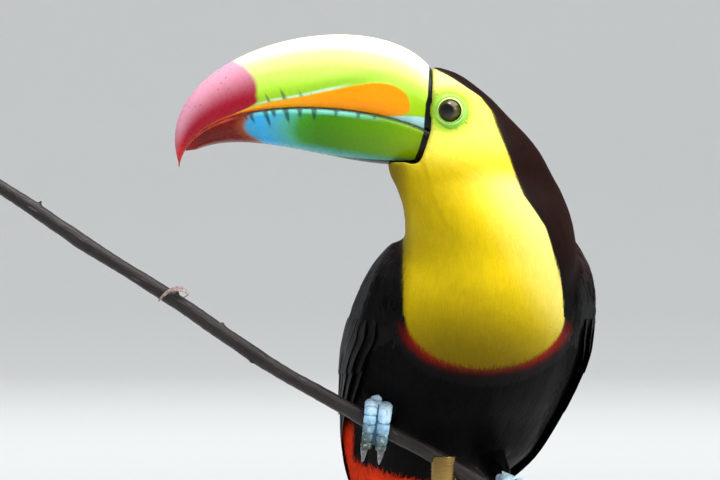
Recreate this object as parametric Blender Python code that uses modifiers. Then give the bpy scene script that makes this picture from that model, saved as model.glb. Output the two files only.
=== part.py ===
"""A keel-billed toucan on a cut length of branch, life size, on a turned display stand.

The bird faces -Y and turns its head to its own right, so the bill points to -X. +Z is up, and the origin
is the centre of the stand's underside. Sizes are in millimetres here, and shape() turns them to metres.
"""

import math

import bmesh
import bpy
import numpy as np
from mathutils import Matrix, Vector
from mathutils.geometry import interpolate_bezier

MM = 0.001
GAP = 0.4  # between pieces that meet

# ---------------------------------------------------------------- driving sizes
# Trunk slices, from the tail root up to the mantle: height, centre x, centre y, half width, half depth.
TRUNK = (
    ("tail root", 185, -34.5, 77, 21, 14.5),
    ("vent", 198, -30.5, 69, 31, 21),
    ("lower belly", 211, -26, 60, 39.5, 28),
    ("belly", 224, -20, 51, 47.4, 35),
    ("hips", 240, -17.2, 41, 51.5, 41),
    ("waist", 255, -13, 30, 55, 47),
    ("low breast", 274, -8.6, 20, 58.5, 53),
    ("breast", 292, -5, 13, 58.4, 56),
    ("high breast", 310, -1.8, 10, 55.5, 54),
    ("shoulders", 325, 0.4, 12, 50.6, 47),
    ("mantle", 336, 3, 16, 46, 37),
    ("nape root", 344, 6, 19, 34, 27),
    ("nape", 350, 7, 21, 19, 15),
)
TRUNK_TURN = math.radians(9)  # the breast looks a little to the bird's left

# Neck slices, from inside the breast up to the throat:
# height, centre x, centre y, half length, half width, and how far the front has turned towards -X.
NECK = (
    ("breast", 281, 2.5, -14, 22, 34, -9),
    ("bib", 292, 2.5, -12, 31, 41, -5),
    ("low neck", 310, 2, -6, 40, 44.5, 10),
    ("neck base", 328, 4, -1, 43, 46.5, 28),
    ("mid neck", 344, 3.6, -1, 45.8, 41.5, 45),
    ("neck", 359.5, -0.3, -1.5, 45, 32, 62),
)
# Head slices, fanned round the throat: the chin side's x and z, the nape side's x and z, half width.
HEAD = (
    ("throat", -48.5, 370.5, 34, 375.3, 28.3),
    ("chin", -50, 376.5, 25.7, 388, 27),
    ("ear", -47, 379, 14, 400.2, 25),
    ("cheek", -42, 379.5, 1.6, 412.7, 23.2),
    ("crown", -39, 379.5, -12, 422.5, 21.4),
    ("brow", -37.5, 379.5, -23.7, 426.5, 19.6),
    ("lores", -38.5, 379.5, -31, 426.4, 18.8),
    ("bill root", -44, 380, -38, 426.8, 18.0),
)
HEAD_Y = -4.0
HEAD_EGG = 0.10  # the cheeks are this share wider than the crown
THROAT_SWING = (5.0, 2.5)  # the first head slices still lean this far towards the breast

# The room that the bill takes from the face, as x and z: down behind the bill, then forward over the chin.
BILL_ROOM = ((-80, 432), (-26.4, 432), (-26.9, 391.4), (-32.7, 376.9), (-35, 375.8), (-80, 374.5))
# Where the flesh is parted: a point on each plane, and the direction that looks to the side kept first.
THROAT_PLANE = (Vector((0, 0, 366)), Vector((0, 0, 1)))  # the head above the neck
COLLAR_PLANE = (Vector((0, -5, 319)), Vector((0, -0.35, 0.94)).normalized())  # the neck above the trunk

# The bill's side outlines, each one cubic curve of x and z: the ridge, the mouth line and the keel below.
CULMEN = ((-27.0, 425.6), (-58.1, 463.8), (-178.5, 433.8), (-157.0, 374.2))
MOUTH = ((-27.4, 391.0), (-53.5, 407.3), (-149.9, 415.2), (-157.0, 374.5))
KEEL = ((-32.8, 377.2), (-68.1, 370.3), (-125.4, 400.1), (-154.7, 379.3))
LOWER_REACH = 0.93  # the lower mandible ends inside the hook
BILL_HALF_WIDTH = 18.0
# How the half width falls off along the bill: share of the length, and share of the width.
BILL_TAPER = ((0, 1.0), (0.25, 0.93), (0.5, 0.79), (0.75, 0.57), (0.9, 0.34), (1.0, 0.10))
BILL_TUCK = 0.10  # its sides lean in by this share at the mouth line
RIDGE_SHARPNESS, KEEL_SHARPNESS = 0.72, 0.80
MOUTH_GAP = 0.5
TIP_DEPTH = 0.6  # the least depth of horn at the two tips

EYE_RADIUS = 7.2
EYE_X, EYE_Z = -17.1, 401.2
EYE_SINK = 5.5  # from the eye's centre out to the side of the head

TAIL_ROOT = Vector((-33.5, 75, 192))
TAIL_DIRECTION = Vector((-0.22, 0.34, -0.915)).normalized()
# Tail slices: distance from the root, half width, half thickness, how far it bulges towards the vent side.
TAIL = (
    (-12, 20, 13, 0),
    (12, 23, 13, 2),
    (35, 24.5, 10.5, 3),
    (65, 25, 6.5, 2.4),
    (95, 25, 3.2, 0.8),
    (125, 25, 2.0, 0),
    (145, 23.5, 1.7, 0),
    (156, 17.5, 1.4, 0),
    (160, 9, 1.1, 0),
)

# Folded wings, laid over the flank. Rows run from the bend of the wing to its tip: height, the angle
# from the breast where the front edge lies, the same for the back edge, and the wing's thickness.
WING = (
    (335, 90, 106, 1.2),
    (330, 82, 118, 3.0),
    (322, 66, 138, 5.5),
    (306, 56, 152, 6.5),
    (285, 57, 160, 6.5),
    (262, 66, 164, 6.0),
    (240, 78, 168, 5.5),
    (215, 92, 172, 4.5),
    (192, 108, 174, 3.5),
    (168, 122, 172, 2.6),
    (150, 136, 166, 1.8),
    (142, 146, 158, 1.2),
)
WING_EDGE = 0.8
WING_LIFT = 1.0  # the wing's edges lie this far out from the trunk's slices, before their thickness
WING_SINK = 2.0  # and its inner side this far in, to be cut to the flank
# Below the tail root the wings lie along the coverts of the tail, on slices like the trunk's.
RUMP = (
    ("wing tips", 138, -46.5, 95.5, 27, 10),
    ("upper tail coverts", 160, -41.2, 87, 26.5, 13.8),
)

# The perch: a thin woody stem that slopes down to the bird's left. x, z and radius.
PERCH = (
    (-260, 369.5, 3.7),
    (-236, 354.3, 3.9),
    (-211, 337.0, 4.1),
    (-186, 321.2, 3.8),
    (-158, 303.6, 4.1),
    (-130, 284.2, 4.1),
    (-105, 267.8, 4.0),
    (-80, 253.9, 4.1),
    (-55, 239.8, 4.2),
    (-29, 226.2, 4.1),
    (-4, 211.7, 4.2),
    (17, 198.5, 4.2),
    (33, 187.5, 4.4),
    (50, 176.5, 4.2),
)
# Buds and stubs on it: where, above it or below, how far out from the middle and how thick.
SNAGS = (
    (-231, 1, 6.2, 1.6),
    (-160, 1, 6.4, 2.2),
    (-121, -1, 6.6, 3.0),
    (-136, 1, 5.4, 2.0),
    (34, -1, 7.5, 2.6),
)

# Feet. Each toe's path is seen from the side: forward of the perch's axis and up from it, and the radius.
FOOT_X = {"right": -55.0, "left": 15.5}
FOOT_LEAN = math.radians(8)
FRONT_TOE = (
    (0, 9.5, 3.7),
    (4.8, 8.4, 3.6),
    (8.1, 4.6, 3.4),
    (8.6, -0.8, 3.2),
    (7.7, -6.8, 3.0),
    (6.2, -12.5, 2.6),
)
REAR_TOE = (
    (0, 9.5, 3.7),
    (-4.8, 8.2, 3.4),
    (-7.9, 4.2, 3.2),
    (-8.2, -1, 3.0),
    (-7.2, -6.5, 2.8),
    (-5.4, -11, 2.4),
)
SOLE_HEIGHT, SOLE_RADIUS = 9.5, 4.2
TOE_SPREAD = 3.7
FRONT_SPLAY, REAR_SPLAY = (-0.6, 0.4), (-1.2, 1.2)
CLAW_RADIUS, CLAW_TIP, CLAW_ROOT = 1.9, 0.3, 1.2
FRONT_CLAW, REAR_CLAW = 10.5, 9.0
CLAW_CURL, CLAW_DROOP = 0.9, 0.12
SHANK_RADIUS, SHANK_TOP_RADIUS, SHANK_HIDDEN = 3.1, 2.6, 3.0
# Thighs: the point inside the flank, the point at the ankle, and the radius at each.
THIGH = {
    "right": ((-42, 29, 276), (-54.4, 1.2, 255.0), 14, 6.6),
    "left": ((-4, 45, 238), (10.5, 11.0, 212.0), 14, 6.2),
}

# The stand: a turned foot, and a rod set forward of the bird's weight, up to the perch.
STAND_RADIUS, STAND_HEIGHT = 110.0, 20.0
# The foot's moulded edge, from its top inwards: how far in from the rim, and how far down from the top.
STAND_EDGE = ((12, 0), (9, 1.5), (7, 5), (2, 9), (0, 12), (0, 18), (2, 20))
ROD_X, ROD_RADIUS = -20.0, 4.0
FLANGE_HEIGHT = 7.0
FLANGE_PROFILE = ((5.5, 7), (7, 4), (16, 2), (17, 1), (17, 0))  # radius, and height over the foot
CRADLE_RADIUS, CRADLE_HEIGHT, CRADLE_TAPER, CRADLE_RISE = 6.5, 16.0, 3.0, 1.0

TAIL_CUT = 14.0  # how far along the tail its own piece begins
RING_SIDES, TAIL_SIDES, TAIL_SLICES = 32, 20, 13
BILL_SIDES, BILL_SLICES, BILL_CROWDING = 14, 17, 1.25  # the slices crowd towards the hook
WING_SLICES, WING_COLUMNS, WING_ROUNDNESS = 18, 5, 0.5
TOE_SLICES, CLAW_SLICES, PERCH_SLICES, CURVE_SAMPLES = 8, 5, 25, 400
# How finely the soft forms are joined, how often they are smoothed, and the share of their faces kept.
BODY_FORM = (2.8, 4, 0.066)
FOOT_FORM = (0.8, 3, 0.041)


# ---------------------------------------------------------------- helpers
def clear_scene():
    for obj in list(bpy.data.objects):
        bpy.data.objects.remove(obj)


def collection(name):
    made = bpy.data.collections.new(name)
    bpy.context.scene.collection.children.link(made)
    return made


def paint(name, colour, roughness, metallic=0.0):
    """A plain Principled finish, shared by the pieces that wear it."""
    material = bpy.data.materials.new(name)
    material.use_nodes = True
    shader = material.node_tree.nodes["Principled BSDF"]
    shader.inputs["Base Color"].default_value = (*colour, 1.0)
    shader.inputs["Roughness"].default_value = roughness
    shader.inputs["Metallic"].default_value = metallic
    return material


def shape(name, draw, material, where=None):
    """One named object, whose mesh draw(bm) makes in millimetres."""
    bm = bmesh.new()
    draw(bm)
    bmesh.ops.scale(bm, vec=(MM, MM, MM), verts=bm.verts)
    bmesh.ops.recalc_face_normals(bm, faces=bm.faces)
    mesh = bpy.data.meshes.new(name)
    bm.to_mesh(mesh)
    bm.free()
    obj = bpy.data.objects.new(name, mesh)
    (where or parts).objects.link(obj)
    mesh.materials.append(material)
    mesh.shade_smooth()
    return obj


def through(rows, steps):
    """A smooth curve through rows of numbers, by Catmull-Rom: steps + 1 rows, evenly spaced."""
    rows = np.array(rows, float)
    padded = np.vstack([2 * rows[0] - rows[1], rows, 2 * rows[-1] - rows[-2]])
    out = []
    for u in np.linspace(0, len(rows) - 1, steps + 1):
        i = min(int(u), len(rows) - 2)
        t = u - i
        a, b, c, d = padded[i : i + 4]
        bend = (2 * a - 5 * b + 4 * c - d) * t**2 + (3 * b - a - 3 * c + d) * t**3
        out.append(0.5 * (2 * b + (c - a) * t + bend))
    return np.array(out)


def loft(name, rings, material, where=None):
    """A closed surface over rings of points that differ in shape, with both ends filled."""

    def draw(bm):
        loops = [[bm.verts.new(point) for point in ring] for ring in rings]
        for low, high in zip(loops, loops[1:]):
            for i in range(len(low)):
                j = (i + 1) % len(low)
                bm.faces.new((low[i], low[j], high[j], high[i]))
        for ring in (loops[0], loops[-1]):
            middle = bm.verts.new(sum((vert.co for vert in ring), Vector()) / len(ring))
            for i in range(len(ring)):
                bm.faces.new((ring[i], ring[(i + 1) % len(ring)], middle))
        bmesh.ops.remove_doubles(bm, verts=bm.verts, dist=0.01)

    return shape(name, draw, material, where)


def baked(obj):
    """Gives obj the mesh that its modifiers make, so that it can be copied, cut and grown."""
    bpy.context.view_layer.update()
    graph = bpy.context.evaluated_depsgraph_get()
    mesh = bpy.data.meshes.new_from_object(obj.evaluated_get(graph))
    obj.modifiers.clear()
    obj.data = mesh
    return obj


def boolean(obj, other, operation, folded=False):
    """Cuts or joins. folded is for a cutter whose grown surface folds into itself, as between toes."""
    modifier = obj.modifiers.new(operation.lower(), "BOOLEAN")
    modifier.operation = operation
    modifier.object = other
    modifier.use_self = folded
    return obj


def soft_form(obj, form):
    """Joins what obj's shells hold into one smooth skin of few faces."""
    voxel, rounds, kept = form
    join = obj.modifiers.new("join", "REMESH")
    join.mode = "VOXEL"
    join.voxel_size = voxel * MM
    soften = obj.modifiers.new("soften", "SMOOTH")
    soften.factor, soften.iterations = 0.5, rounds
    obj.modifiers.new("thin_out", "DECIMATE").ratio = kept
    return baked(obj)


def helper(obj):
    """A cutter or guide, which is no part of the bird."""
    obj.hide_render = True
    obj.display_type = "WIRE"
    return obj


def grown(obj, distance):
    """A copy of obj whose surface lies distance further out, to cut a neighbour with."""
    copy = obj.copy()
    copy.data = obj.data.copy()
    copy.name = obj.name + "_grown"
    cutters.objects.link(copy)
    grow = copy.modifiers.new("grow", "DISPLACE")
    grow.strength = distance * MM
    grow.mid_level = 0.0
    return helper(baked(copy))


def tube(name, points, material, where=None, roundness=2):
    """A tapering round stem through points of x, y, z and radius."""
    curve = bpy.data.curves.new(name + "_line", "CURVE")
    curve.dimensions = "3D"
    curve.bevel_depth = MM
    curve.bevel_resolution = roundness
    curve.use_fill_caps = True
    line = curve.splines.new("POLY")
    line.points.add(len(points) - 1)
    for point, (x, y, z, radius) in zip(line.points, points):
        point.co = (x * MM, y * MM, z * MM, 1)
        point.radius = radius
    stem = bpy.data.objects.new(name + "_line", curve)
    cutters.objects.link(stem)
    bpy.context.view_layer.update()
    graph = bpy.context.evaluated_depsgraph_get()
    stem_mesh = bpy.data.meshes.new_from_object(stem.evaluated_get(graph))

    def draw(bm):
        bm.from_mesh(stem_mesh)
        bmesh.ops.scale(bm, vec=(1 / MM, 1 / MM, 1 / MM), verts=bm.verts)
        bmesh.ops.remove_doubles(bm, verts=bm.verts, dist=0.02)

    solid = shape(name, draw, material, where)
    solid.matrix_world = stem.matrix_world
    bpy.data.objects.remove(stem)
    return solid


def turned(name, profile, material, steps):
    """A lathe-turned piece about Z, whose profile runs down its outer side from the axis to the axis."""
    mesh = bpy.data.meshes.new(name)
    edges = [(i, i + 1) for i in range(len(profile) - 1)]
    mesh.from_pydata([(radius * MM, 0, z * MM) for radius, z in profile], edges, [])
    obj = bpy.data.objects.new(name, mesh)
    parts.objects.link(obj)
    screw = obj.modifiers.new("turn", "SCREW")
    screw.steps = screw.render_steps = steps
    screw.use_merge_vertices = True
    screw.merge_threshold = 0.00001
    screw.use_smooth_shade = True
    baked(obj)
    obj.data.materials.append(material)
    obj.data.set_sharp_from_angle(angle=math.radians(40))
    return obj


# ---------------------------------------------------------------- trunk, neck and head
def trunk_ring(z, x, y, half_width, half_depth):
    """A level slice of the trunk, starting at the breast and going round by the bird's left."""
    ring = []
    for i in range(RING_SIDES):
        angle = 2 * math.pi * i / RING_SIDES + TRUNK_TURN
        ring.append(Vector((x + half_width * math.sin(angle), y - half_depth * math.cos(angle), z)))
    return ring


def slice_ring(front, back, half_width, egg, along):
    """A slice between its front and back points, square to the line along."""
    centre, reach = (front + back) / 2, (front - back) / 2
    side = along.cross(reach).normalized() * half_width
    ring = []
    for i in range(RING_SIDES):
        angle = 2 * math.pi * i / RING_SIDES
        ring.append(centre + reach * math.cos(angle) + side * math.sin(angle) * (1 + egg * math.cos(angle)))
    return ring


def neck_and_head_rings():
    rows = []
    for _, z, x, y, half_length, half_width, turn in NECK:
        front = Vector((-math.sin(math.radians(turn)), -math.cos(math.radians(turn)), 0)) * half_length
        centre = Vector((x, y, z))
        rows.append((*(centre + front), *(centre - front), half_width, 0.0))
    for i, (_, front_x, front_z, back_x, back_z, half_width) in enumerate(HEAD):
        swing = THROAT_SWING[i] if i < len(THROAT_SWING) else 0.0
        front, back = (front_x, HEAD_Y - swing, front_z), (back_x, HEAD_Y + 1 + swing, back_z)
        rows.append((*front, *back, half_width, HEAD_EGG))
    rows = through(rows, 3 * (len(rows) - 1))
    centres = [Vector((row[0:3] + row[3:6]) / 2) for row in rows]
    rings = []
    for i, row in enumerate(rows):
        along = centres[min(i + 1, len(rows) - 1)] - centres[max(i - 1, 0)]
        rings.append(slice_ring(Vector(row[0:3]), Vector(row[3:6]), row[6], row[7], along))
    return rings


def tail_rings(start=None):
    """Flattened slices square to the tail, from distance start to its rounded end."""
    across = Vector((0, 1, 0)).cross(TAIL_DIRECTION).normalized()
    vent_side = across.cross(TAIL_DIRECTION).normalized()
    vent_side = vent_side if vent_side.y < 0 else -vent_side
    rows = through(TAIL, TAIL_SLICES)
    if start is not None:
        first = [np.interp(start, rows[:, 0], rows[:, k]) for k in range(4)]
        rows = [first] + [row for row in rows if row[0] > start + 4]
    rings = []
    for distance, half_width, half_thick, bulge in rows:
        centre = TAIL_ROOT + TAIL_DIRECTION * float(distance) + vent_side * float(bulge)
        ring = []
        for i in range(TAIL_SIDES):
            angle = 2 * math.pi * i / TAIL_SIDES
            out = across * float(half_width * math.cos(angle))
            ring.append(centre + out + vent_side * float(half_thick * math.sin(angle)))
        rings.append(ring)
    return rings


def whole_body():
    """Trunk, neck, head and the root of the tail as one soft form, which the nodes are cut from."""
    rows = through([row[1:] for row in TRUNK], 3 * (len(TRUNK) - 1))
    form = helper(loft("body_form", [trunk_ring(*row) for row in rows], black, cutters))
    boolean(form, helper(loft("neck_form", neck_and_head_rings(), black, cutters)), "UNION")
    boolean(form, helper(loft("tail_form", tail_rings(), black, cutters)), "UNION")
    return soft_form(form, BODY_FORM)


def sawn(name, source, planes, material):
    """The part of source on the side that each plane looks to, closed by flat faces."""

    def draw(bm):
        bm.from_mesh(source.data)
        bmesh.ops.scale(bm, vec=(1 / MM, 1 / MM, 1 / MM), verts=bm.verts)
        for point, normal in planes:
            cut = bmesh.ops.bisect_plane(
                bm,
                geom=bm.verts[:] + bm.edges[:] + bm.faces[:],
                dist=0.001,
                plane_co=point + normal * (GAP / 2),
                plane_no=normal,
                clear_inner=True,
            )
            edges = [edge for edge in cut["geom_cut"] if isinstance(edge, bmesh.types.BMEdge)]
            bmesh.ops.holes_fill(bm, edges=edges, sides=0)

    return shape(name, draw, material)


def bill_room():
    """What the bill takes from the face: its side outline, carried right through the head."""

    def draw(bm):
        half = 2.2 * BILL_HALF_WIDTH
        face = bm.faces.new([bm.verts.new((x, HEAD_Y - half, z)) for x, z in BILL_ROOM])
        made = bmesh.ops.extrude_face_region(bm, geom=[face])
        verts = [vert for vert in made["geom"] if isinstance(vert, bmesh.types.BMVert)]
        bmesh.ops.translate(bm, vec=(0, 2 * half, 0), verts=verts)

    return helper(shape("bill_room", draw, black, cutters))


# ---------------------------------------------------------------- bill, eyes and wings
def mandible(name, ridge, reach, sharpness, material):
    """One half of the bill: flat along the mouth line and rounded over its ridge or keel."""
    ridge_line = [Vector((x, HEAD_Y, z)) for x, z in ridge]
    mouth_line = [Vector((x, HEAD_Y, z)) for x, z in MOUTH]
    ridge_points = interpolate_bezier(*ridge_line, CURVE_SAMPLES + 1)
    mouth_points = interpolate_bezier(*mouth_line, CURVE_SAMPLES + 1)
    shares, widths = zip(*BILL_TAPER)
    rings = []
    for i in range(BILL_SLICES + 1):
        t = reach * (1 - (1 - i / BILL_SLICES) ** BILL_CROWDING)
        top, low = ridge_points[round(t * CURVE_SAMPLES)], mouth_points[round(t * CURVE_SAMPLES)]
        away = (top - low).normalized()
        depth = max((top - low).length - MOUTH_GAP / 2, TIP_DEPTH)
        low = low + away * (MOUTH_GAP / 2)
        half_width = BILL_HALF_WIDTH * float(np.interp(t, shares, widths))
        ring = []
        for k in range(BILL_SIDES + 1):  # up one side and down the other
            angle = math.pi * k / BILL_SIDES
            out = half_width * math.cos(angle) * (1 - BILL_TUCK * (1 - math.sin(angle)))
            ring.append(low + away * (depth * math.sin(angle) ** sharpness) + Vector((0, out, 0)))
        ring.append(low + away * (0.2 * MOUTH_GAP))  # the cutting edges stand a little proud
        rings.append(ring)
    return loft(name, rings, material)


def side_of_head(side):
    """Where the head's side lies, looking in at the eye from that side."""
    start = Vector((EYE_X, HEAD_Y + side * 80, EYE_Z)) * MM
    hit, place, _, _ = body.ray_cast(start, Vector((0, -side, 0)))
    assert hit, "the eye misses the head"
    return place.y / MM


def eyeball(name, side):
    centre = Vector((EYE_X, side_of_head(side) - side * EYE_SINK, EYE_Z))

    def draw(bm):
        bmesh.ops.create_uvsphere(bm, u_segments=15, v_segments=9, radius=EYE_RADIUS)
        bmesh.ops.rotate(bm, cent=(0, 0, 0), matrix=Matrix.Rotation(math.pi / 2, 3, "X"), verts=bm.verts)
        bmesh.ops.translate(bm, vec=centre, verts=bm.verts)

    return shape(name, draw, eye_dark)


def folded_wing(name, side):
    """A wing laid over one flank, thick in the middle and thin at its edges, cut to the flank beneath."""
    slices = through([row[1:] for row in (*RUMP, *TRUNK)], 90)
    rings = []
    for z, front, back, thick in through(WING, WING_SLICES):
        x, y, half_width, half_depth = (np.interp(z, slices[:, 0], slices[:, k]) for k in range(1, 5))
        inner, outer = [], []
        for k in range(WING_COLUMNS + 1):
            u = k / WING_COLUMNS
            angle = side * math.radians(front + (back - front) * u) + TRUNK_TURN
            out = Vector((math.sin(angle) / half_width, -math.cos(angle) / half_depth, 0)).normalized()
            on_flank = Vector((x + half_width * math.sin(angle), y - half_depth * math.cos(angle), z))
            swell = WING_EDGE + max(thick - WING_EDGE, 0) * math.sin(math.pi * u) ** WING_ROUNDNESS
            inner.append(on_flank - out * WING_SINK)
            outer.append(on_flank + out * (WING_LIFT + swell))
        rings.append(inner + outer[::-1])
    made = loft(name, rings, black)
    boolean(made, flank_room, "DIFFERENCE")
    boolean(made, tail_room, "DIFFERENCE")
    return made


# ---------------------------------------------------------------- legs and feet
def perch_at(x):
    """The middle of the perch at x."""
    rows = through(PERCH, 60)
    return Vector((x, 0, float(np.interp(x, rows[:, 0], rows[:, 1]))))


def toe_points(path, foot_at, offset, splay):
    """A toe's path and radii, offset sideways at its root and splayed further at its end."""
    points = []
    for i, (ahead, height, radius) in enumerate(through(path, TOE_SLICES)):
        aside = offset + splay * i / TOE_SLICES
        centre = foot_at + FORWARD * float(ahead) + FOOT_UP * float(height) + SIDEWAYS * aside
        points.append((*centre, float(radius)))
    return points


def claw(name, toe, inward, length, room):
    """A claw that leaves the end of its toe and curls in under the perch."""
    place = Vector(toe[-1][:3])
    heading = (place - Vector(toe[-2][:3])).normalized()
    place -= heading * CLAW_ROOT
    bend = Vector((0, inward * CLAW_CURL, -CLAW_DROOP)) / CLAW_SLICES
    points = []
    for i in range(CLAW_SLICES + 1):
        points.append((*place, CLAW_RADIUS * (1 - i / CLAW_SLICES) ** 0.7 + CLAW_TIP))
        place = place + heading * (length / CLAW_SLICES)
        heading = (heading + bend).normalized()
    return boolean(tube(name, points, claw_grey, roundness=1), room, "DIFFERENCE", folded=True)


def foot(side):
    """Toes and shank in one piece, with four claws. It returns the room that they take from the belly."""
    foot_at = perch_at(FOOT_X[side])
    hip, ankle = Vector(THIGH[side][0]), Vector(THIGH[side][1])
    toes = [toe_points(FRONT_TOE, foot_at, k * TOE_SPREAD, splay) for k, splay in zip((-1, 1), FRONT_SPLAY)]
    toes += [toe_points(REAR_TOE, foot_at, k * TOE_SPREAD, splay) for k, splay in zip((-1, 1), REAR_SPLAY)]
    sole = foot_at + FOOT_UP * SOLE_HEIGHT
    inside = ankle + (hip - ankle).normalized() * SHANK_HIDDEN
    shank = [(*sole, SOLE_RADIUS), (*sole.lerp(ankle, 0.5), SHANK_RADIUS)]
    shank += [(*ankle, SHANK_RADIUS), (*inside, SHANK_TOP_RADIUS)]
    stems = [tube("stem", points, foot_blue, cutters) for points in (*toes, shank)]

    def draw(bm):
        for stem in stems:
            bm.from_mesh(stem.data)
        bmesh.ops.scale(bm, vec=(1 / MM, 1 / MM, 1 / MM), verts=bm.verts)

    made = soft_form(shape("foot_" + side, draw, foot_blue), FOOT_FORM)
    for stem in stems:
        bpy.data.objects.remove(stem)
    claw_room, belly_room = grown(made, GAP), grown(made, 2 * GAP)
    boolean(made, perch_room, "DIFFERENCE")
    for i, toe in enumerate(toes):
        inward, length = (1, FRONT_CLAW) if i < 2 else (-1, REAR_CLAW)
        claw(f"claw_{side}_{i + 1}", toe, inward, length, claw_room)
    return belly_room


def leg(side):
    """A feathered thigh, which leaves the belly just over its foot."""
    hip, ankle, hip_radius, ankle_radius = THIGH[side]
    rows = through([(*hip, hip_radius), (*ankle, ankle_radius)], 3)
    thigh = tube("thigh_" + side, [tuple(row) for row in rows], black)
    boolean(trunk, grown(thigh, GAP), "DIFFERENCE")
    belly_room = foot(side)
    boolean(trunk, belly_room, "DIFFERENCE", folded=True)
    boolean(thigh, belly_room, "DIFFERENCE", folded=True)


# ---------------------------------------------------------------- perch and stand
def cut_branch():
    """The perch, with the buds and stubs along it."""
    rows = through(PERCH, PERCH_SLICES)
    stem = tube("perch", [(x, 0, z, radius) for x, z, radius in rows], bark)
    for x, upward, length, radius in SNAGS:
        heading = Vector((0.35, -0.25, upward)).normalized()
        points = []
        for share in (0, 0.6, 1):
            points.append((*(perch_at(x) + heading * (length * share)), radius * (1 - 0.55 * share)))
        boolean(stem, helper(tube("snag", points, bark, cutters, roundness=1)), "UNION")
    return baked(stem)


def stand():
    """A turned wooden foot, a flanged brass rod and a saddle that holds the perch."""
    edge = [(STAND_RADIUS - inward, STAND_HEIGHT - down) for inward, down in STAND_EDGE]
    turned("stand_base", [(0, STAND_HEIGHT), *edge, (0, 0)], walnut, 32)
    floor = STAND_HEIGHT + GAP
    flange = [(radius, floor + height) for radius, height in FLANGE_PROFILE]
    collar = turned("stand_collar", [(0, floor + FLANGE_HEIGHT), *flange, (0, floor)], brass, 20)
    top = perch_at(ROD_X).z + CRADLE_RISE
    foot_z = top - CRADLE_HEIGHT
    low, high = floor + FLANGE_HEIGHT + GAP, foot_z - GAP
    rod = turned("stand_rod", [(0, high), (ROD_RADIUS, high), (ROD_RADIUS, low), (0, low)], brass, 16)
    wall = [(CRADLE_RADIUS, top), (CRADLE_RADIUS, foot_z + CRADLE_TAPER), (CRADLE_RADIUS - 1.9, foot_z)]
    cradle = turned("stand_cradle", [(0, top), *wall, (0, foot_z)], brass, 20)
    for piece in (collar, rod, cradle):
        piece.location.x = ROD_X * MM
    boolean(cradle, perch_room, "DIFFERENCE")


# ---------------------------------------------------------------- build
FOOT_UP = Vector((math.sin(FOOT_LEAN), 0, math.cos(FOOT_LEAN)))
SIDEWAYS = Vector((math.cos(FOOT_LEAN), 0, -math.sin(FOOT_LEAN)))
FORWARD = Vector((0, -1, 0))

clear_scene()
parts = collection("toucan")
cutters = collection("cutters")

black = paint("black_plumage", (0.012, 0.011, 0.012), 0.45)
yellow = paint("yellow_plumage", (0.90, 0.78, 0.05), 0.6)
green_horn = paint("green_bill", (0.42, 0.68, 0.10), 0.25)
blue_horn = paint("green_and_blue_bill", (0.16, 0.45, 0.10), 0.25)
eye_dark = paint("eye", (0.02, 0.018, 0.012), 0.05)
foot_blue = paint("blue_foot", (0.28, 0.48, 0.66), 0.45)
claw_grey = paint("claw", (0.30, 0.31, 0.32), 0.35)
bark = paint("bark", (0.06, 0.035, 0.035), 0.6)
walnut = paint("walnut", (0.16, 0.08, 0.04), 0.4)
brass = paint("brass", (0.72, 0.52, 0.22), 0.3, 1.0)

body = whole_body()
throat, up = THROAT_PLANE
collar, ahead = COLLAR_PLANE
tail_base = TAIL_ROOT + TAIL_DIRECTION * TAIL_CUT
head = boolean(sawn("head", body, [(throat, up)], yellow), bill_room(), "DIFFERENCE")
neck = sawn("neck", body, [(throat, -up), (collar, ahead)], yellow)
trunk = sawn("trunk", body, [(collar, -ahead), (tail_base, -TAIL_DIRECTION)], black)
tail = loft("tail", tail_rings(TAIL_CUT + GAP / 2), black)

mandible("bill_upper", CULMEN, 1.0, RIDGE_SHARPNESS, green_horn)
mandible("bill_lower", KEEL, LOWER_REACH, KEEL_SHARPNESS, blue_horn)

flank_room, tail_room = grown(body, GAP), grown(tail, GAP)
for name, side in (("left", 1), ("right", -1)):
    folded_wing("wing_" + name, side)
    boolean(head, grown(eyeball("eye_" + name, -side), GAP), "DIFFERENCE")  # the head's left looks to -Y

perch_room = grown(cut_branch(), GAP)
leg("right")
leg("left")
stand()
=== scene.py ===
# %% [markdown]
# # A keel-billed toucan on its perch
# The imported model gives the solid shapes: body, bill, feet, branch and stand. This lesson dresses them.
# A skin is made from the solids of flesh, feathers are laid over it, and the horn of the bill, the eyes,
# the scales of the feet, the bark and the stand get their own shapes and finishes. All of it is in the
# model's own frame, in which the breast faces -Y and the bill points along -X. Sizes are given in
# millimetres, unless a comment says metres, and a mesh gets them in metres. The shapes keep to the solids,
# apart from the eyes, which show a little higher in their sockets, and the feathers of the chin, which are
# fitted to the bill.

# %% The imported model
import math

import bmesh
import bpy
import numpy as np
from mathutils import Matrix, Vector
from mathutils.bvhtree import BVHTree
from mathutils.kdtree import KDTree


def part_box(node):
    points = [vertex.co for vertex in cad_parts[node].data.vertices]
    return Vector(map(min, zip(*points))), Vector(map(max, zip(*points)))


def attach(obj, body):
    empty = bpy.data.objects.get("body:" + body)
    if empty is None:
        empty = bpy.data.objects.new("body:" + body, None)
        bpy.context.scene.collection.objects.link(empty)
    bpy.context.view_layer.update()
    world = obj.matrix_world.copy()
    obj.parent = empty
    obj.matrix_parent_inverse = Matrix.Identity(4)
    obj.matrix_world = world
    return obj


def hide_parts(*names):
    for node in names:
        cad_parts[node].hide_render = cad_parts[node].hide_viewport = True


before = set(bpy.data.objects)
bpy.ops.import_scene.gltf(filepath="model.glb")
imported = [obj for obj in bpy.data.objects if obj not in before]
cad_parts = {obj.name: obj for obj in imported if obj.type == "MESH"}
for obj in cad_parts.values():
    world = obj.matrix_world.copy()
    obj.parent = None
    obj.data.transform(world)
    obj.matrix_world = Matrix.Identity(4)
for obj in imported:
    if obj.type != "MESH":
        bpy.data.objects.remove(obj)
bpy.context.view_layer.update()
MM = 0.001  # a millimetre in metres
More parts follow.
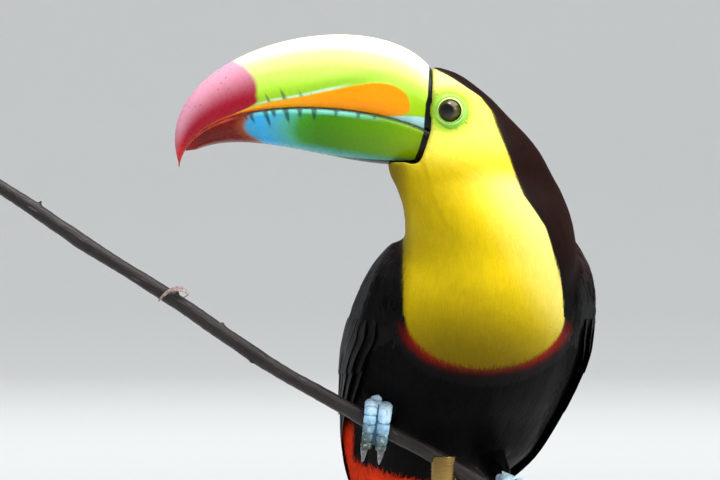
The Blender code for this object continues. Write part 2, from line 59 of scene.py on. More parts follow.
chance = np.random.default_rng(7)  # every random draw comes from here, in one order

# %% [markdown]
# ## Small tools
# Colours are chosen as sRGB hex values, as on a screen, and shaders want linear light, so one function
# turns them. Another adds a shader node, sets it and links it, and a third makes a material from one
# Principled shader. Marks are then painted as a maker paints them: a mask says how far a mark shows, and
# each colour is laid over the others through its own mask. Pieces are handed to the frame in one call: what
# carries them and which solids they stand for.


# %% Colours and shader nodes
def linear(code):
    """The linear colour of an sRGB hex value."""
    out = []
    for i in (0, 2, 4):
        value = int(code[i : i + 2], 16) / 255
        out.append(value / 12.92 if value <= 0.04045 else ((value + 0.055) / 1.055) ** 2.4)
    return (*out, 1.0)


def add_node(tree, kind, links=None, stops=(), between="EASE", points=(), **settings):
    """A node with its settings. links gives its inputs by name or number: a socket, a value or a hex
    colour. stops are a ramp's places and colours or greys, and points are a curve's."""
    made = tree.nodes.new("ShaderNode" + kind)
    for name, value in settings.items():
        setattr(made, name, value)
    for key, value in (links or {}).items():
        if isinstance(value, bpy.types.NodeSocket):
            tree.links.new(value, made.inputs[key])
        else:
            made.inputs[key].default_value = linear(value) if isinstance(value, str) else value
    if stops:
        made.color_ramp.interpolation = between
        for _ in stops[2:]:
            made.color_ramp.elements.new(0.5)
        for element, (place, shade) in zip(made.color_ramp.elements, stops):
            element.position = place
            element.color = linear(shade) if isinstance(shade, str) else (shade, shade, shade, 1)
    if points:
        curve = made.mapping.curves[0]
        curve.points[0].location = points[0]
        curve.points[1].location = points[-1]
        for place in points[1:-1]:
            curve.points.new(*place)
        made.mapping.update()
    return made


def new_material(name, **inputs):
    """A material with one Principled shader; its inputs are given by name, with _ for a space."""
    made = bpy.data.materials.new(name)
    made.use_nodes = True
    shader = made.node_tree.nodes["Principled BSDF"]
    for key, value in inputs.items():
        shader.inputs[key.replace("_", " ")].default_value = value
    return made, made.node_tree, shader


# %% Masks, paint and relief
def mask(tree, *parts):
    """How far a mark shows: the product of its parts. A part is a socket, a number, or a value with two
    limits, which is 0 at the first limit and 1 at the second, with a soft step between."""
    shown = None
    for part in parts:
        if isinstance(part, tuple):
            value, none, full = part
            limits = {"Value": value, "From Min": none, "From Max": full}
            part = add_node(tree, "MapRange", limits, interpolation_type="SMOOTHSTEP").outputs[0]
        if shown is not None:
            part = add_node(tree, "Math", {0: shown, 1: part}, operation="MULTIPLY").outputs[0]
        shown = part
    return shown


def painted(tree, colour, *marks):
    """Lays marks over colour in turn; each is a colour and then the parts of its mask."""
    for over, *parts in marks:
        layers = {0: mask(tree, *parts), 6: colour, 7: over}
        colour = add_node(tree, "Mix", layers, data_type="RGBA").outputs[2]
    return colour


def surfaced(tree, shader, colour, height=None, depth_mm=0.0):
    """Links the shader's colour and, where there is a height, its relief of depth_mm at the most."""
    tree.links.new(colour, shader.inputs["Base Color"])
    if height is not None:
        bump = add_node(tree, "Bump", {"Height": height, "Distance": depth_mm * MM, "Strength": 1.0})
        tree.links.new(bump.outputs[0], shader.inputs["Normal"])


# %% Pieces of the model
def deselect():
    """Leaves edit mode and selects nothing, because an operator acts on all that is selected."""
    if bpy.context.object and bpy.context.object.mode != "OBJECT":
        bpy.ops.object.mode_set(mode="OBJECT")
    bpy.ops.object.select_all(action="DESELECT")


def pick(obj):
    """Selects obj alone and makes it the active one."""
    deselect()
    obj.select_set(True)
    bpy.context.view_layer.objects.active = obj


def settle(obj):
    """Puts obj's place, turn and size into its mesh, so that its origin is the model's."""
    pick(obj)
    bpy.ops.object.transform_apply(location=True, rotation=True, scale=True)


def mesh_object(name, vertices, faces):
    """A new object from lists of vertices and faces, for a shape that no primitive starts."""
    mesh = bpy.data.meshes.new(name)
    mesh.from_pydata(vertices, [], faces)
    obj = bpy.data.objects.new(name, mesh)
    bpy.context.collection.objects.link(obj)
    return obj


def finished(obj, material, slot, *nodes):
    """Hands a piece over: its material, what carries it and the solids it replaces. slot is not used."""
    obj.data.materials.clear()
    obj.data.materials.append(material)
    pick(obj)
    bpy.ops.object.shade_smooth()
    deselect()
    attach(obj, "root")
    if nodes:
        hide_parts(*nodes)
    obj.data.calc_loop_triangles()
    print(obj.name, len(obj.data.loop_triangles), "triangles")


# %% [markdown]
# ## Camera, floor and light
# The camera stands level with the bird's breast, 2.3 m away, with a long lens, as a bird is watched. The
# floor is one very wide pale dish whose rim rises far behind everything, so that it meets the pale sky with
# no line, from any side. One large soft lamp over the bird does what a bright clouded sky does.

# %% Camera
LENS = 225  # mm
CAMERA_PLACE = (-0.0634, -2.34, 0.336)  # metres
camera_data = bpy.data.cameras.new("camera")
camera_data.lens = LENS
camera_data.clip_end = 100
camera = bpy.data.objects.new("camera", camera_data)
camera.location = CAMERA_PLACE
camera.rotation_euler = (math.pi / 2, 0, 0)  # level, and looking along +Y
bpy.context.collection.objects.link(camera)
bpy.context.scene.camera = camera

bpy.context.scene.view_settings.view_transform = "Standard"  # keeps the bright yellows and greens pure

# %% Floor
# Radius and height of the floor's rings, in metres.
DISH = ((9.0, 0.0), (10.5, 0.12), (12.0, 0.5), (13.5, 1.3), (15.0, 2.8), (16.0, 5.0))
FLOOR_HEIGHT = -0.0005  # metres; a little under the stand, so that their faces don't coincide
deselect()
floor_start = {"vertices": 96, "radius": DISH[0][0], "fill_type": "NGON"}
bpy.ops.mesh.primitive_circle_add(**floor_start, location=(0, 0, FLOOR_HEIGHT))
dish = bpy.context.object
dish.name = "floor_dish"
bpy.ops.object.mode_set(mode="EDIT")
for (radius, height), (wider, higher) in zip(DISH, DISH[1:]):
    bpy.ops.mesh.extrude_region_move(TRANSFORM_OT_translate={"value": (0, 0, higher - height)})
    bpy.ops.transform.resize(value=(wider / radius, wider / radius, 1), center_override=(0, 0, 0))
bpy.ops.object.mode_set(mode="OBJECT")
mesh = bmesh.new()
mesh.from_mesh(dish.data)
# The last extrusion leaves a lid, which is taken off.
for face in [face for face in mesh.faces if len(face.verts) > 4 and face.calc_center_median().z > 0.01]:
    mesh.faces.remove(face)
mesh.to_mesh(dish.data)
mesh.free()
settle(dish)
bpy.ops.object.shade_smooth()
# Matt card: it has no shine of its own and takes a soft shadow, with a faint unevenness.
paper, tree, shader = new_material("studio_paper", Base_Color=linear("E2E4E4"), Roughness=0.95)
grain = add_node(tree, "TexNoise", {"Scale": 2.0, "Detail": 3.0}).outputs[0]
tone = add_node(tree, "ValToRGB", {0: grain}, stops=((0.3, "E0E2E2"), (0.7, "E4E6E6"))).outputs[0]
surfaced(tree, shader, tone)
dish.data.materials.append(paper)

# %% Light
SKY_STRENGTH = 0.52
RIM_LAMPS = 6
world = bpy.data.worlds.new("pale_sky")
bpy.context.scene.world = world
world.use_nodes = True
sky = world.node_tree.nodes["Background"]
sky.inputs["Color"].default_value = linear("E8EAEC")
sky.inputs["Strength"].default_value = SKY_STRENGTH


def soft_lamp(name, place, aim, size, power, tint="FFFFFF"):
    """A square soft lamp at place, turned to aim."""
    light = bpy.data.lights.new(name, "AREA")
    light.size, light.energy, light.color = size, power, linear(tint)[:3]
    lamp = bpy.data.objects.new(name, light)
    lamp.location = place
    lamp.rotation_euler = (Vector(aim) - Vector(place)).to_track_quat("-Z", "Y").to_euler()
    bpy.context.collection.objects.link(lamp)


breast = (-0.02, 0.0, 0.36)
left_eye = (-0.03, -0.02, 0.403)
soft_lamp("sky_lamp", (0.40, -0.2, 1.5), breast, size=1.3, power=32, tint="FFFCF5")
soft_lamp("eye_lamp", (0.02, -0.35, 1.42), left_eye, size=0.34, power=6, tint="F4F6FF")
soft_lamp("front_lamp", (1.25, -0.8, 0.95), breast, size=0.8, power=9, tint="FFFDF8")
for number in range(RIM_LAMPS):  # these light only the far rim of the floor, behind the bird from any side
    turn = math.radians(360 / RIM_LAMPS * number + 30)
    near, far = ((r * math.cos(turn), r * math.sin(turn), z) for r, z in ((3.5, 5.0), (12.0, 0.4)))
    soft_lamp(f"rim_lamp_{number + 1}", near, far, size=3.0, power=230)
print("camera, floor and lamps are set")

# %% [markdown]
# ## The skin
# A bird has one skin, so the solids of flesh become one surface. Each is copied and grown by half a
# millimetre, so that the copies run into each other over the thin cuts between them. A voxel remesh then
# keeps only the outside of the lot, and a smooth takes out its steps. That surface is where the feathers
# end. The skin lies under it by the depth of the coat, which is least on the face and the tail, and where
# the form is thin it goes in by no more than a third of the thickness.

# %% One form from the solids of flesh
FLESH = ["head", "neck", "trunk", "tail", "wing_left", "wing_right", "thigh_left", "thigh_right"]
FLESH += ["foot_left", "foot_right"]


def solid_copy(node):
    """The vertices and faces of a node's solid, merged."""
    mesh = bmesh.new()
    mesh.from_mesh(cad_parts[node].data)
    bmesh.ops.remove_doubles(mesh, verts=mesh.verts, dist=1e-6)
    return mesh


GROWTH = 0.5  # how far each copy is grown
VOXEL = 1.7
joined = bpy.data.meshes.new("flesh")
whole = bmesh.new()
owners = []
for number, node in enumerate(FLESH):
    part = solid_copy(node)
    part.normal_update()
    for vert in part.verts:
        owners.append((vert.co.copy(), number))
        vert.co += vert.normal * GROWTH * MM
    part_mesh = bpy.data.meshes.new(node)
    part.to_mesh(part_mesh)
    whole.from_mesh(part_mesh)
    part.free()
whole.to_mesh(joined)
whole.free()
skin = bpy.data.objects.new("skin", joined)
bpy.context.collection.objects.link(skin)
pick(skin)
for kind, settings in (
    ("REMESH", {"mode": "VOXEL", "voxel_size": VOXEL * MM, "adaptivity": 0.0}),
    ("SMOOTH", {"factor": 0.5, "iterations": 6}),
):
    modifier = skin.modifiers.new(kind.lower(), kind)
    for key, value in settings.items():
        setattr(modifier, key, value)
    bpy.ops.object.modifier_apply(modifier=modifier.name)
print("one form of flesh:", len(skin.data.vertices), "vertices")

# %% Reading a surface
# Along the chin: x, and how far up its feathers are moved there.
CHIN_LIFT = ((-50, -46, -40, -36, -32, -28, -24), (1.1, 1.0, 0.5, -0.9, -1.5, -1.0, 0.0))


def smooth_step(low, high, value):
    """0 at low and 1 at high, with a soft step between; low may be the larger of the two."""
    share = np.clip((value - low) / (high - low), 0, 1)
    return share * share * (3 - 2 * share)


def mesh_arrays(mesh):
    """Places and normals of a mesh's vertices, in metres."""
    count = len(mesh.vertices)
    places, normals = np.empty(count * 3), np.empty(count * 3)
    mesh.vertices.foreach_get("co", places)
    mesh.vertices.foreach_get("normal", normals)
    return places.reshape(-1, 3), normals.reshape(-1, 3)


form_places, form_normals = mesh_arrays(skin.data)
form_places = form_places - form_normals * GROWTH * MM  # back to where the solids end
x, y, z = (1000 * form_places).T
chin = smooth_step(368, 374, z) * smooth_step(390, 382, z)
# The feathers of the chin press against the keel, and hang lower by the black ring at the bill's corner.
form_places[:, 2] += np.interp(x, *CHIN_LIFT) * chin * MM
skin.data.vertices.foreach_set("co", form_places.ravel())
skin.data.update()
form_tree = BVHTree.FromObject(skin, bpy.context.evaluated_depsgraph_get())

owner_tree = KDTree(len(owners))
for i, (place, number) in enumerate(owners):
    owner_tree.insert(place, i)
owner_tree.balance()


def owners_of(places):
    """Which node of flesh each place belongs to, as its number in FLESH."""
    return np.array([owners[owner_tree.find(place)[1]][1] for place in places])


# %% Skin under the coat
COAT_DEPTH = {"head": 0.45, "neck": 0.65, "trunk": 1.1, "tail": 0.5, "wing_left": 0.8, "wing_right": 0.8}
COAT_DEPTH.update({"thigh_left": 1.3, "thigh_right": 1.3, "foot_left": 0.35, "foot_right": 0.35})
owner_number = owners_of(form_places)
depth = np.array([COAT_DEPTH[node] for node in FLESH])[owner_number] * MM
edges = np.empty(len(skin.data.edges) * 2, dtype=int)
skin.data.edges.foreach_get("vertices", edges)
edges = edges.reshape(-1, 2)
neighbours = np.bincount(edges.ravel(), minlength=len(depth))
for _ in range(12):  # the depth changes gently from one region to the next
    total = np.bincount(edges[:, 0], depth[edges[:, 1]], len(depth))
    total += np.bincount(edges[:, 1], depth[edges[:, 0]], len(depth))
    depth = 0.5 * depth + 0.5 * total / neighbours
for i, (place, normal) in enumerate(zip(form_places, form_normals)):
    inward = Vector(-normal)
    hit = form_tree.ray_cast(Vector(place) + inward * 0.1 * MM, inward, 8 * MM)
    if hit[0] is not None:
        depth[i] = min(depth[i], 0.3 * hit[3])
x, y, z = (1000 * form_places).T
by_bill = smooth_step(-25.5, -27.5, x - 0.25 * (391 - np.minimum(z, 391))) * (z > 372)
depth *= 1 - 0.9 * by_bill  # the skin comes out to meet the bill's root, so that no gap shows
skin_places = form_places - form_normals * depth[:, None]
skin.data.vertices.foreach_set("co", skin_places.ravel())
skin.data.update()
print("coat depth, mm:", round(1000 * depth.min(), 2), "to", round(1000 * depth.max(), 2))

# %% [markdown]
# ## The markings
# A keel-billed toucan is black, with a lemon face and bib, a red line under the bib, a white rump and red
# feathers under the tail. Skin and feathers ask the same functions for their colour, so they always agree.
# The edge of the yellow is one line down the side of the head and neck, and it is the same on both sides of
# the bird. On the head it is given by height, and on the neck by how far round from the throat it lies.

# %% Where the yellow ends
# On the head: height, and the x at which the yellow ends.
FACE_EDGE = (
    (366, 17.2), (370, 16.4), (382, 12.2), (392, 8.0), (403, 4.2), (410, -1.2), (415, -8.5), (420, -16.0),
    (423, -21.5), (426, -27.0), (440, -45.0),
)
# On the neck: height, centre x and y, half length, half width, facing turn and yellow's turn, in degrees.
NECK_EDGE = (
    (281, 2.5, -14, 22, 34, -9, 66),
    (296, 2.5, -10, 33, 42, -3, 66),
    (310, 2.0, -6, 40, 44.5, 10, 70),
    (325, 3.7, -2, 43, 46.4, 26, 71.5),
    (342, 3.6, -1, 45.6, 42, 43, 85),
    (359.5, -0.3, -1.5, 45, 32, 62, 96),
    (370, -7, -4, 41, 28, 88, 127),
)
BIB = (1.0, 297.0, 41.2, 27.2)  # centre x and z, half width and half height of its round lower edge
BIB_REACH = 42.2  # half the bib's greatest width, seen from the front
BIB_SIZE = 36  # turns a share of the bib's half width or height to mm
NECK_RADIUS = 42  # turns an angle round the neck to mm
HEAD_MIDDLE = -4.0  # the y of the head's middle plane
RED_LINE = 4.6  # how deep the red line under the bib is
# The fold down the throat, painted as a line of shade: heights, and x there.
THROAT_FOLD_SHADE = ((333, 344, 353, 362, 371, 376), (-10.5, -19.5, -24.5, -27, -29.5, -31))



def yellow_reach(places):
    """How far inside the yellow each place lies, in mm, and less than 0 outside it."""
    x, y, z = (1000 * places).T
    on_head = np.interp(z, *np.array(FACE_EDGE).T) - x
    heights, *columns = np.array(NECK_EDGE).T
    middle_x, middle_y, length, width, facing, reach = (np.interp(z, heights, column) for column in columns)
    facing = np.radians(facing)
    ahead = -(x - middle_x) * np.sin(facing) - (y - middle_y) * np.cos(facing)
    aside = (x - middle_x) * np.cos(facing) - (y - middle_y) * np.sin(facing)
    turn = np.degrees(np.arctan2(np.abs(aside) / width, ahead / length))
    on_neck = (reach - turn) * math.pi / 180 * NECK_RADIUS
    middle, height, half_width, half_height = BIB
    round_bib = (1 - np.hypot((x - middle) / half_width, (z - height) / half_height)) * BIB_SIZE
    on_neck = np.where(z < height, np.minimum(round_bib, np.where(ahead > 0, 99, -99)), on_neck)
    in_front = BIB_REACH - np.abs(x - middle)
    on_neck = np.where(z < 346, np.minimum(on_neck, in_front), on_neck)
    share = smooth_step(360, 372, z)
    return on_neck * (1 - share) + on_head * share


# %% Colours of the plumage
TAIL_ROOT = np.array((-33.5, 75, 192))
TAIL_WAY = np.array((-0.22, 0.34, -0.915)) / np.linalg.norm((-0.22, 0.34, -0.915))  # from root to tip
SOCKET_CENTRE = 0.5 * (np.array(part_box("eye_left")[0]) + np.array(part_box("eye_left")[1]))
EYE_RISE = 1.3  # the ball shows a little higher than the middle of its socket
EYE_CENTRE = SOCKET_CENTRE + np.array((0, 0, EYE_RISE * MM))
PLUMAGE = {
    "lemon": "E4C60E", "pale lemon": "F4EA60", "painted highlight lemon": "E4DA80", "cream": "F6F2A4", "lime": "9AC438",
    "painted_shade_gold": "A88606", "deep gold": "6B5A02", "black": "070708", "maroon": "1C0906", "red": "7A1004",
    "scarlet": "E2360F", "white": "E9E4D4",
}
PLUMAGE = {name: np.array(linear(code)[:3]) for name, code in PLUMAGE.items()}


def blend_colours(low, high, share):
    """low where share is 0 and high where it is 1, for every place at once."""
    return low + (high - low) * share[:, None]


# %% The dark plumage
def dark_colour(places, reach):
    """Black, with a maroon nape, scarlet under the tail, white over it, and a red line under the bib."""
    x, y, z = (1000 * places).T
    colour = np.tile(PLUMAGE["black"], (len(places), 1))
    back = smooth_step(-45, -5, y + 0.35 * (x - 10)) * smooth_step(300, 335, z)
    colour = blend_colours(colour, PLUMAGE["maroon"], back)
    along = (1000 * places - TAIL_ROOT) @ TAIL_WAY
    across = (1000 * places - TAIL_ROOT) @ np.array((0.97, 0.0, -0.23))
    below = y - (75 + 0.37 * np.maximum(along, -40))
    red_vent = smooth_step(-30, -26, along) * (1 - smooth_step(26, 40, along)) * smooth_step(2, -4, below)
    red_vent *= 1 - smooth_step(2, 9, across) * (1 - smooth_step(-20, -10, along))
    red_flank = smooth_step(241, 233, z) * smooth_step(-65.5, -68, x) * smooth_step(66, 58, y)
    colour = blend_colours(colour, PLUMAGE["scarlet"], np.maximum(red_vent, red_flank))
    rump = smooth_step(-20, -14, along) * (1 - smooth_step(22, 30, along)) * smooth_step(4, 8, below)
    colour = blend_colours(colour, PLUMAGE["white"], rump)
    aside = smooth_step(8, 34, np.abs(x - BIB[0]))  # the line is thin low down in its middle, and darker there as painted shade
    depth_here = RED_LINE * (0.8 + 0.2 * aside)
    red_line = smooth_step(-depth_here - 2.0, -1.0, reach) * smooth_step(296, 283, z)
    # Painted shade: the red darkens towards the bottom middle of the line.
    red_line = red_line * (0.45 + 0.55 * aside)
    return blend_colours(colour, PLUMAGE["red"], np.where(reach < 1, red_line, 0))


# %% The yellow plumage
def yellow_colour(places):
    """Lemon, cream by the crown, lime round the eye, a painted highlight at the bird's left side and painted
    shade low down.
    """
    x, y, z = (1000 * places).T
    lemon = np.tile(PLUMAGE["lemon"], (len(places), 1))
    lemon = blend_colours(lemon, PLUMAGE["pale lemon"], smooth_step(368, 392, z))
    lemon = blend_colours(lemon, PLUMAGE["cream"], 0.6 * smooth_step(408, 420, z))
    # Painted highlight: the bird's left side of the neck and bib is paler, where the light falls on it.
    side = 0.85 * smooth_step(2, 38, x + 0.5 * (z - 331)) * smooth_step(376, 364, z)
    lemon = blend_colours(lemon, PLUMAGE["painted highlight lemon"], side)
    low = smooth_step(331, 270, z + 0.0085 * (x + 6) ** 2)  # painted shade: the bib is darkest low down in its middle
    # Painted shade too: darker golden on the throat's side towards the bill, and on the chin under the bill.
    throat = (0.3 + 0.15 * smooth_step(345, 362, z)) * smooth_step(12, -22, x) * smooth_step(380, 366, z)
    chin_gold = 0.9 * smooth_step(-29, -47, x) * smooth_step(383, 372, z)
    fades = np.where(z > 331, smooth_step(24, 8, x - 0.6 * (z - 290)), 1)
    painted_shade_gold = np.maximum(1 - (1 - low) * (1 - throat), chin_gold) * fades
    lemon = blend_colours(lemon, PLUMAGE["deep gold"], painted_shade_gold)
    # Painted shade: a darker golden line along the fold down the throat.
    fold = np.exp(-(((x - np.interp(z, *THROAT_FOLD_SHADE)) / 1.2) ** 2))
    fold = fold * smooth_step(331, 345, z) * smooth_step(378, 375, z)
    lemon = blend_colours(lemon, PLUMAGE["painted_shade_gold"], 0.45 * fold * (y < HEAD_MIDDLE))
    off_eye = np.hypot(x - 1000 * EYE_CENTRE[0], z - 1000 * EYE_CENTRE[2])
    return blend_colours(lemon, PLUMAGE["lime"], (1 - smooth_step(8.6, 15.5, off_eye)) * (z > 375))


def plumage_colour(places):
    """The colour of the plumage at each place, linear."""
    reach = yellow_reach(places)
    return blend_colours(dark_colour(places, reach), yellow_colour(places), smooth_step(-0.5, 0.5, reach))


# %% Skin finish
def paint_points(obj, colours):
    """Keeps a colour for every vertex of obj, for its material to read."""
    layer = obj.data.color_attributes.new("plumage", "FLOAT_COLOR", "POINT")
    layer.data.foreach_set("color", np.hstack([colours, np.ones((len(colours), 1))]).ravel())


def plumage_material(name, roughness, sheen, variation, gloss=0.07):
    """Keratin barbs: the colour kept in the mesh, a little uneven, with the soft sheen of fine threads."""
    made, tree, shader = new_material(
        name, Roughness=roughness, Sheen_Weight=sheen, Sheen_Roughness=0.4, Specular_IOR_Level=gloss
    )
    base = add_node(tree, "Attribute", attribute_name="plumage").outputs["Color"]
    place = add_node(tree, "TexCoord").outputs["Object"]
    patches = add_node(tree, "TexNoise", {"Vector": place, "Scale": 160.0, "Detail": 3.0}).outputs[0]
    shade = add_node(tree, "ValToRGB", {0: patches}, stops=((0.3, 1 - variation), (0.7, 1.0))).outputs[0]
    tinted = add_node(tree, "Mix", {0: 1.0, 6: base, 7: shade}, data_type="RGBA", blend_type="MULTIPLY")
    surfaced(tree, shader, tinted.outputs[2])
    return made


skin_colours = plumage_colour(skin_places)
on_foot = np.isin(owner_number, [FLESH.index("foot_left"), FLESH.index("foot_right")])
# The foot's skin between and under the scutes: its blue darkened as painted shade, as in creases.
skin_colours[on_foot] = linear("4C6E88")[:3]
paint_points(skin, skin_colours)
# Bare skin with its down: dull, and seen only in the gaps between feathers.
skin_finish = plumage_material("bird_skin_and_down", 0.7, 0.1, 0.2)
finished(skin, skin_finish, "black_plumage", *FLESH)

# %% [markdown]
# ## The bill
# A toucan's bill is a thin shell of horn, so it is smooth and shines like a polished nail. Each half is one
# grid of faces rolled into shape: one side of the grid runs along the bill and the other goes round it, up
# over the ridge and back under. The ridge, the mouth line and the keel are the same cubic curves as the
# solid's. The cutting edges get their blunt saw teeth here, which are too fine for the solid.


# %% A grid rolled into shape
def rolled_grid(name, along, around, place, closed=True):
    """A primitive grid whose corners (share along, share round) are put at place(share, share)."""
    deselect()
    bpy.ops.mesh.primitive_grid_add(x_subdivisions=along, y_subdivisions=around, size=1, location=(0, 0, 0))
    obj = bpy.context.object
    obj.name = name
    for vert in obj.data.vertices:
        vert.co = place(vert.co.x + 0.5, vert.co.y + 0.5)
    bpy.ops.object.mode_set(mode="EDIT")
    bpy.ops.mesh.select_all(action="SELECT")
    bpy.ops.mesh.remove_doubles(threshold=0.00001)
    if closed:
        bpy.ops.mesh.select_all(action="DESELECT")
        bpy.ops.mesh.select_non_manifold()
        bpy.ops.mesh.edge_face_add()
        bpy.ops.mesh.quads_convert_to_tris()
    bpy.ops.mesh.select_all(action="SELECT")
    bpy.ops.mesh.normals_make_consistent(inside=False)
    bpy.ops.object.mode_set(mode="OBJECT")
    return obj


def bezier(curve, share):
    """The point of a cubic curve of x and z, in mm, at a share of its way."""
    a, b, c, d = (np.array(point) for point in curve)
    rest = 1 - share
    return rest**3 * a + 3 * rest**2 * share * b + 3 * rest * share**2 * c + share**3 * d


# %% Both halves of the bill
CULMEN = ((-27.0, 425.6), (-58.1, 463.8), (-178.5, 433.8), (-157.0, 374.2))
MOUTH = ((-27.4, 391.0), (-53.5, 407.3), (-149.9, 415.2), (-157.0, 374.5))
KEEL = ((-32.8, 375.9), (-68.1, 370.0), (-125.4, 400.1), (-154.7, 379.3))
LOWER_REACH = 0.93
BILL_HALF_WIDTH = 18.0
BILL_TAPER = ((0, 0.25, 0.5, 0.75, 0.9, 0.97, 1.0), (1.0, 0.93, 0.79, 0.57, 0.34, 0.2, 0.06))
ROOF_SHARE = 0.86  # of the way round, the rest is the roof of the mouth
ROOF_WIDTH, ROOF_HOLLOW = 0.9, 0.16  # shares of the half width
LIP = 0.16  # from the mouth line to each half's edge
LEAST_DEPTH = 0.7
TEETH, TOOTH_DEPTH = 17, 0.45
TEETH_FROM, TEETH_TO = 0.14, 0.9  # shares along the bill
TOOTH_HEIGHT = 2.2  # how far up from the edge a tooth still shows


def tooth(share):
    """The saw edge: each tooth drops slowly and ends in a step, and they fade out at both ends."""
    if not TEETH_FROM < share < TEETH_TO:
        return 0.0
    saw = share * TEETH % 1.0
    fade = min((share - TEETH_FROM) / 0.1, (TEETH_TO - share) / 0.1, 1.0)
    return TOOTH_DEPTH * fade * min(saw, (1 - saw) * 5)


def bill_place(ridge, reach, sharpness, drop, along, around):
    """The place in the model of a point of the bill's shell, given its shares along and round."""
    share = reach * (1 - (1 - along) ** 1.25) - 0.013 * (1 - along) ** 60  # the root goes into the head
    low, top = bezier(MOUTH, share), bezier(ridge, share)
    depth = np.linalg.norm(top - low)
    away = (top - low) / depth
    half_width = BILL_HALF_WIDTH * np.interp(share, *BILL_TAPER)
    low = low + away * LIP
    depth = max(depth - LIP, LEAST_DEPTH)
    angle = math.pi * min(around / ROOF_SHARE, 1.0)
    rise = max(math.sin(angle), 0.0)
    aside = half_width * math.cos(angle) * (1 - 0.10 * (1 - rise))
    height = depth * rise**sharpness
    edge = math.exp(-((height / TOOTH_HEIGHT) ** 2))
    if around > ROOF_SHARE:  # back across the roof of the mouth, which is hollowed a little
        across = (around - ROOF_SHARE) / (1 - ROOF_SHARE)
        aside = -half_width * ROOF_WIDTH * (1 - 2 * across)
        height = ROOF_HOLLOW * half_width * math.sin(math.pi * across)
        edge = 1.0 if across in (0.0, 1.0) else 0.0
    height -= drop * tooth(share) * edge
    point = low + away * height
    return Vector((point[0], HEAD_MIDDLE + aside, point[1])) * MM


def horn_map(obj, ridge):
    """A UV map that says how far along the bill a corner is, and how far from mouth line to ridge."""
    shares = np.linspace(0, 1, 401)
    lows = np.array([bezier(MOUTH, share) for share in shares])
    tops = np.array([bezier(ridge, share) for share in shares])
    spans = tops - lows
    lengths = (spans**2).sum(1)
    where = []
    for vert in obj.data.vertices:
        point = np.array((vert.co.x, vert.co.z)) / MM
        rise = ((point - lows) * spans).sum(1) / lengths
        off = np.abs((point - lows)[:, 0] * spans[:, 1] - (point - lows)[:, 1] * spans[:, 0])
        off = off / np.sqrt(lengths) + 20 * np.maximum(np.abs(rise - 0.5) - 0.55, 0)
        i = int(np.argmin(off))
        where.append((shares[i], float(np.clip(rise[i], 0, 1))))
    layer = obj.data.uv_layers.new(name="horn")
    obj.data.uv_layers.active = layer
    for loop in obj.data.loops:
        layer.data[loop.index].uv = where[loop.vertex_index]


ALONG, AROUND = 180, 60
bill_upper = rolled_grid(
    "bill_upper_horn", ALONG, AROUND, lambda u, v: bill_place(CULMEN, 1.0, 0.72, 1.0, u, v)
)
bill_lower = rolled_grid(
    "bill_lower_horn", ALONG, AROUND, lambda u, v: bill_place(KEEL, LOWER_REACH, 0.80, -0.4, u, v)
)
horn_map(bill_upper, CULMEN)
horn_map(bill_lower, KEEL)
print("bill:", len(bill_upper.data.vertices) + len(bill_lower.data.vertices), "vertices")

# %% [markdown]
# The horn is coloured from within: fields of yellow-green, orange, crimson and sky blue, with soft but
# sharp-set borders. Each border is a float curve over the share along the bill, and a mask is the soft step
# across it. A little noise moves the shares first, so that no border is ruled. The dark ticks by the mouth
# line stand at given places: a curve turns the way along the bill into a count of ticks, and the fraction
# of that count says how near the next tick is.
# Some of the paint is light and shade: the near white along the ridge and the pink on the tip are painted
# highlights, the bright line at the tip's cutting edge is painted light, and the dark edge by the mouth line
# is painted shade.

# %% The way along and up the bill
WOBBLE = 0.012  # how far the noise moves a border, as a share of the bill's length


def horn_shares(tree):
    """The shares along and up the bill, moved a little by noise."""
    split = add_node(tree, "SeparateXYZ", {0: add_node(tree, "UVMap", uv_map="horn").outputs[0]})
    place = add_node(tree, "TexCoord").outputs["Object"]
    noise = add_node(tree, "TexNoise", {"Vector": place, "Scale": 90.0, "Detail": 2.0}).outputs["Color"]
    moves = add_node(tree, "SeparateColor", {0: noise})
    out = []
    for i, reach in enumerate((WOBBLE, 2 * WOBBLE)):
        move = {0: moves.outputs[i], 1: reach, 2: -0.5 * reach}
        move = add_node(tree, "Math", move, operation="MULTIPLY_ADD").outputs[0]
        out.append(add_node(tree, "Math", {0: split.outputs[i], 1: move}, operation="ADD").outputs[0])
    return (*out, place)


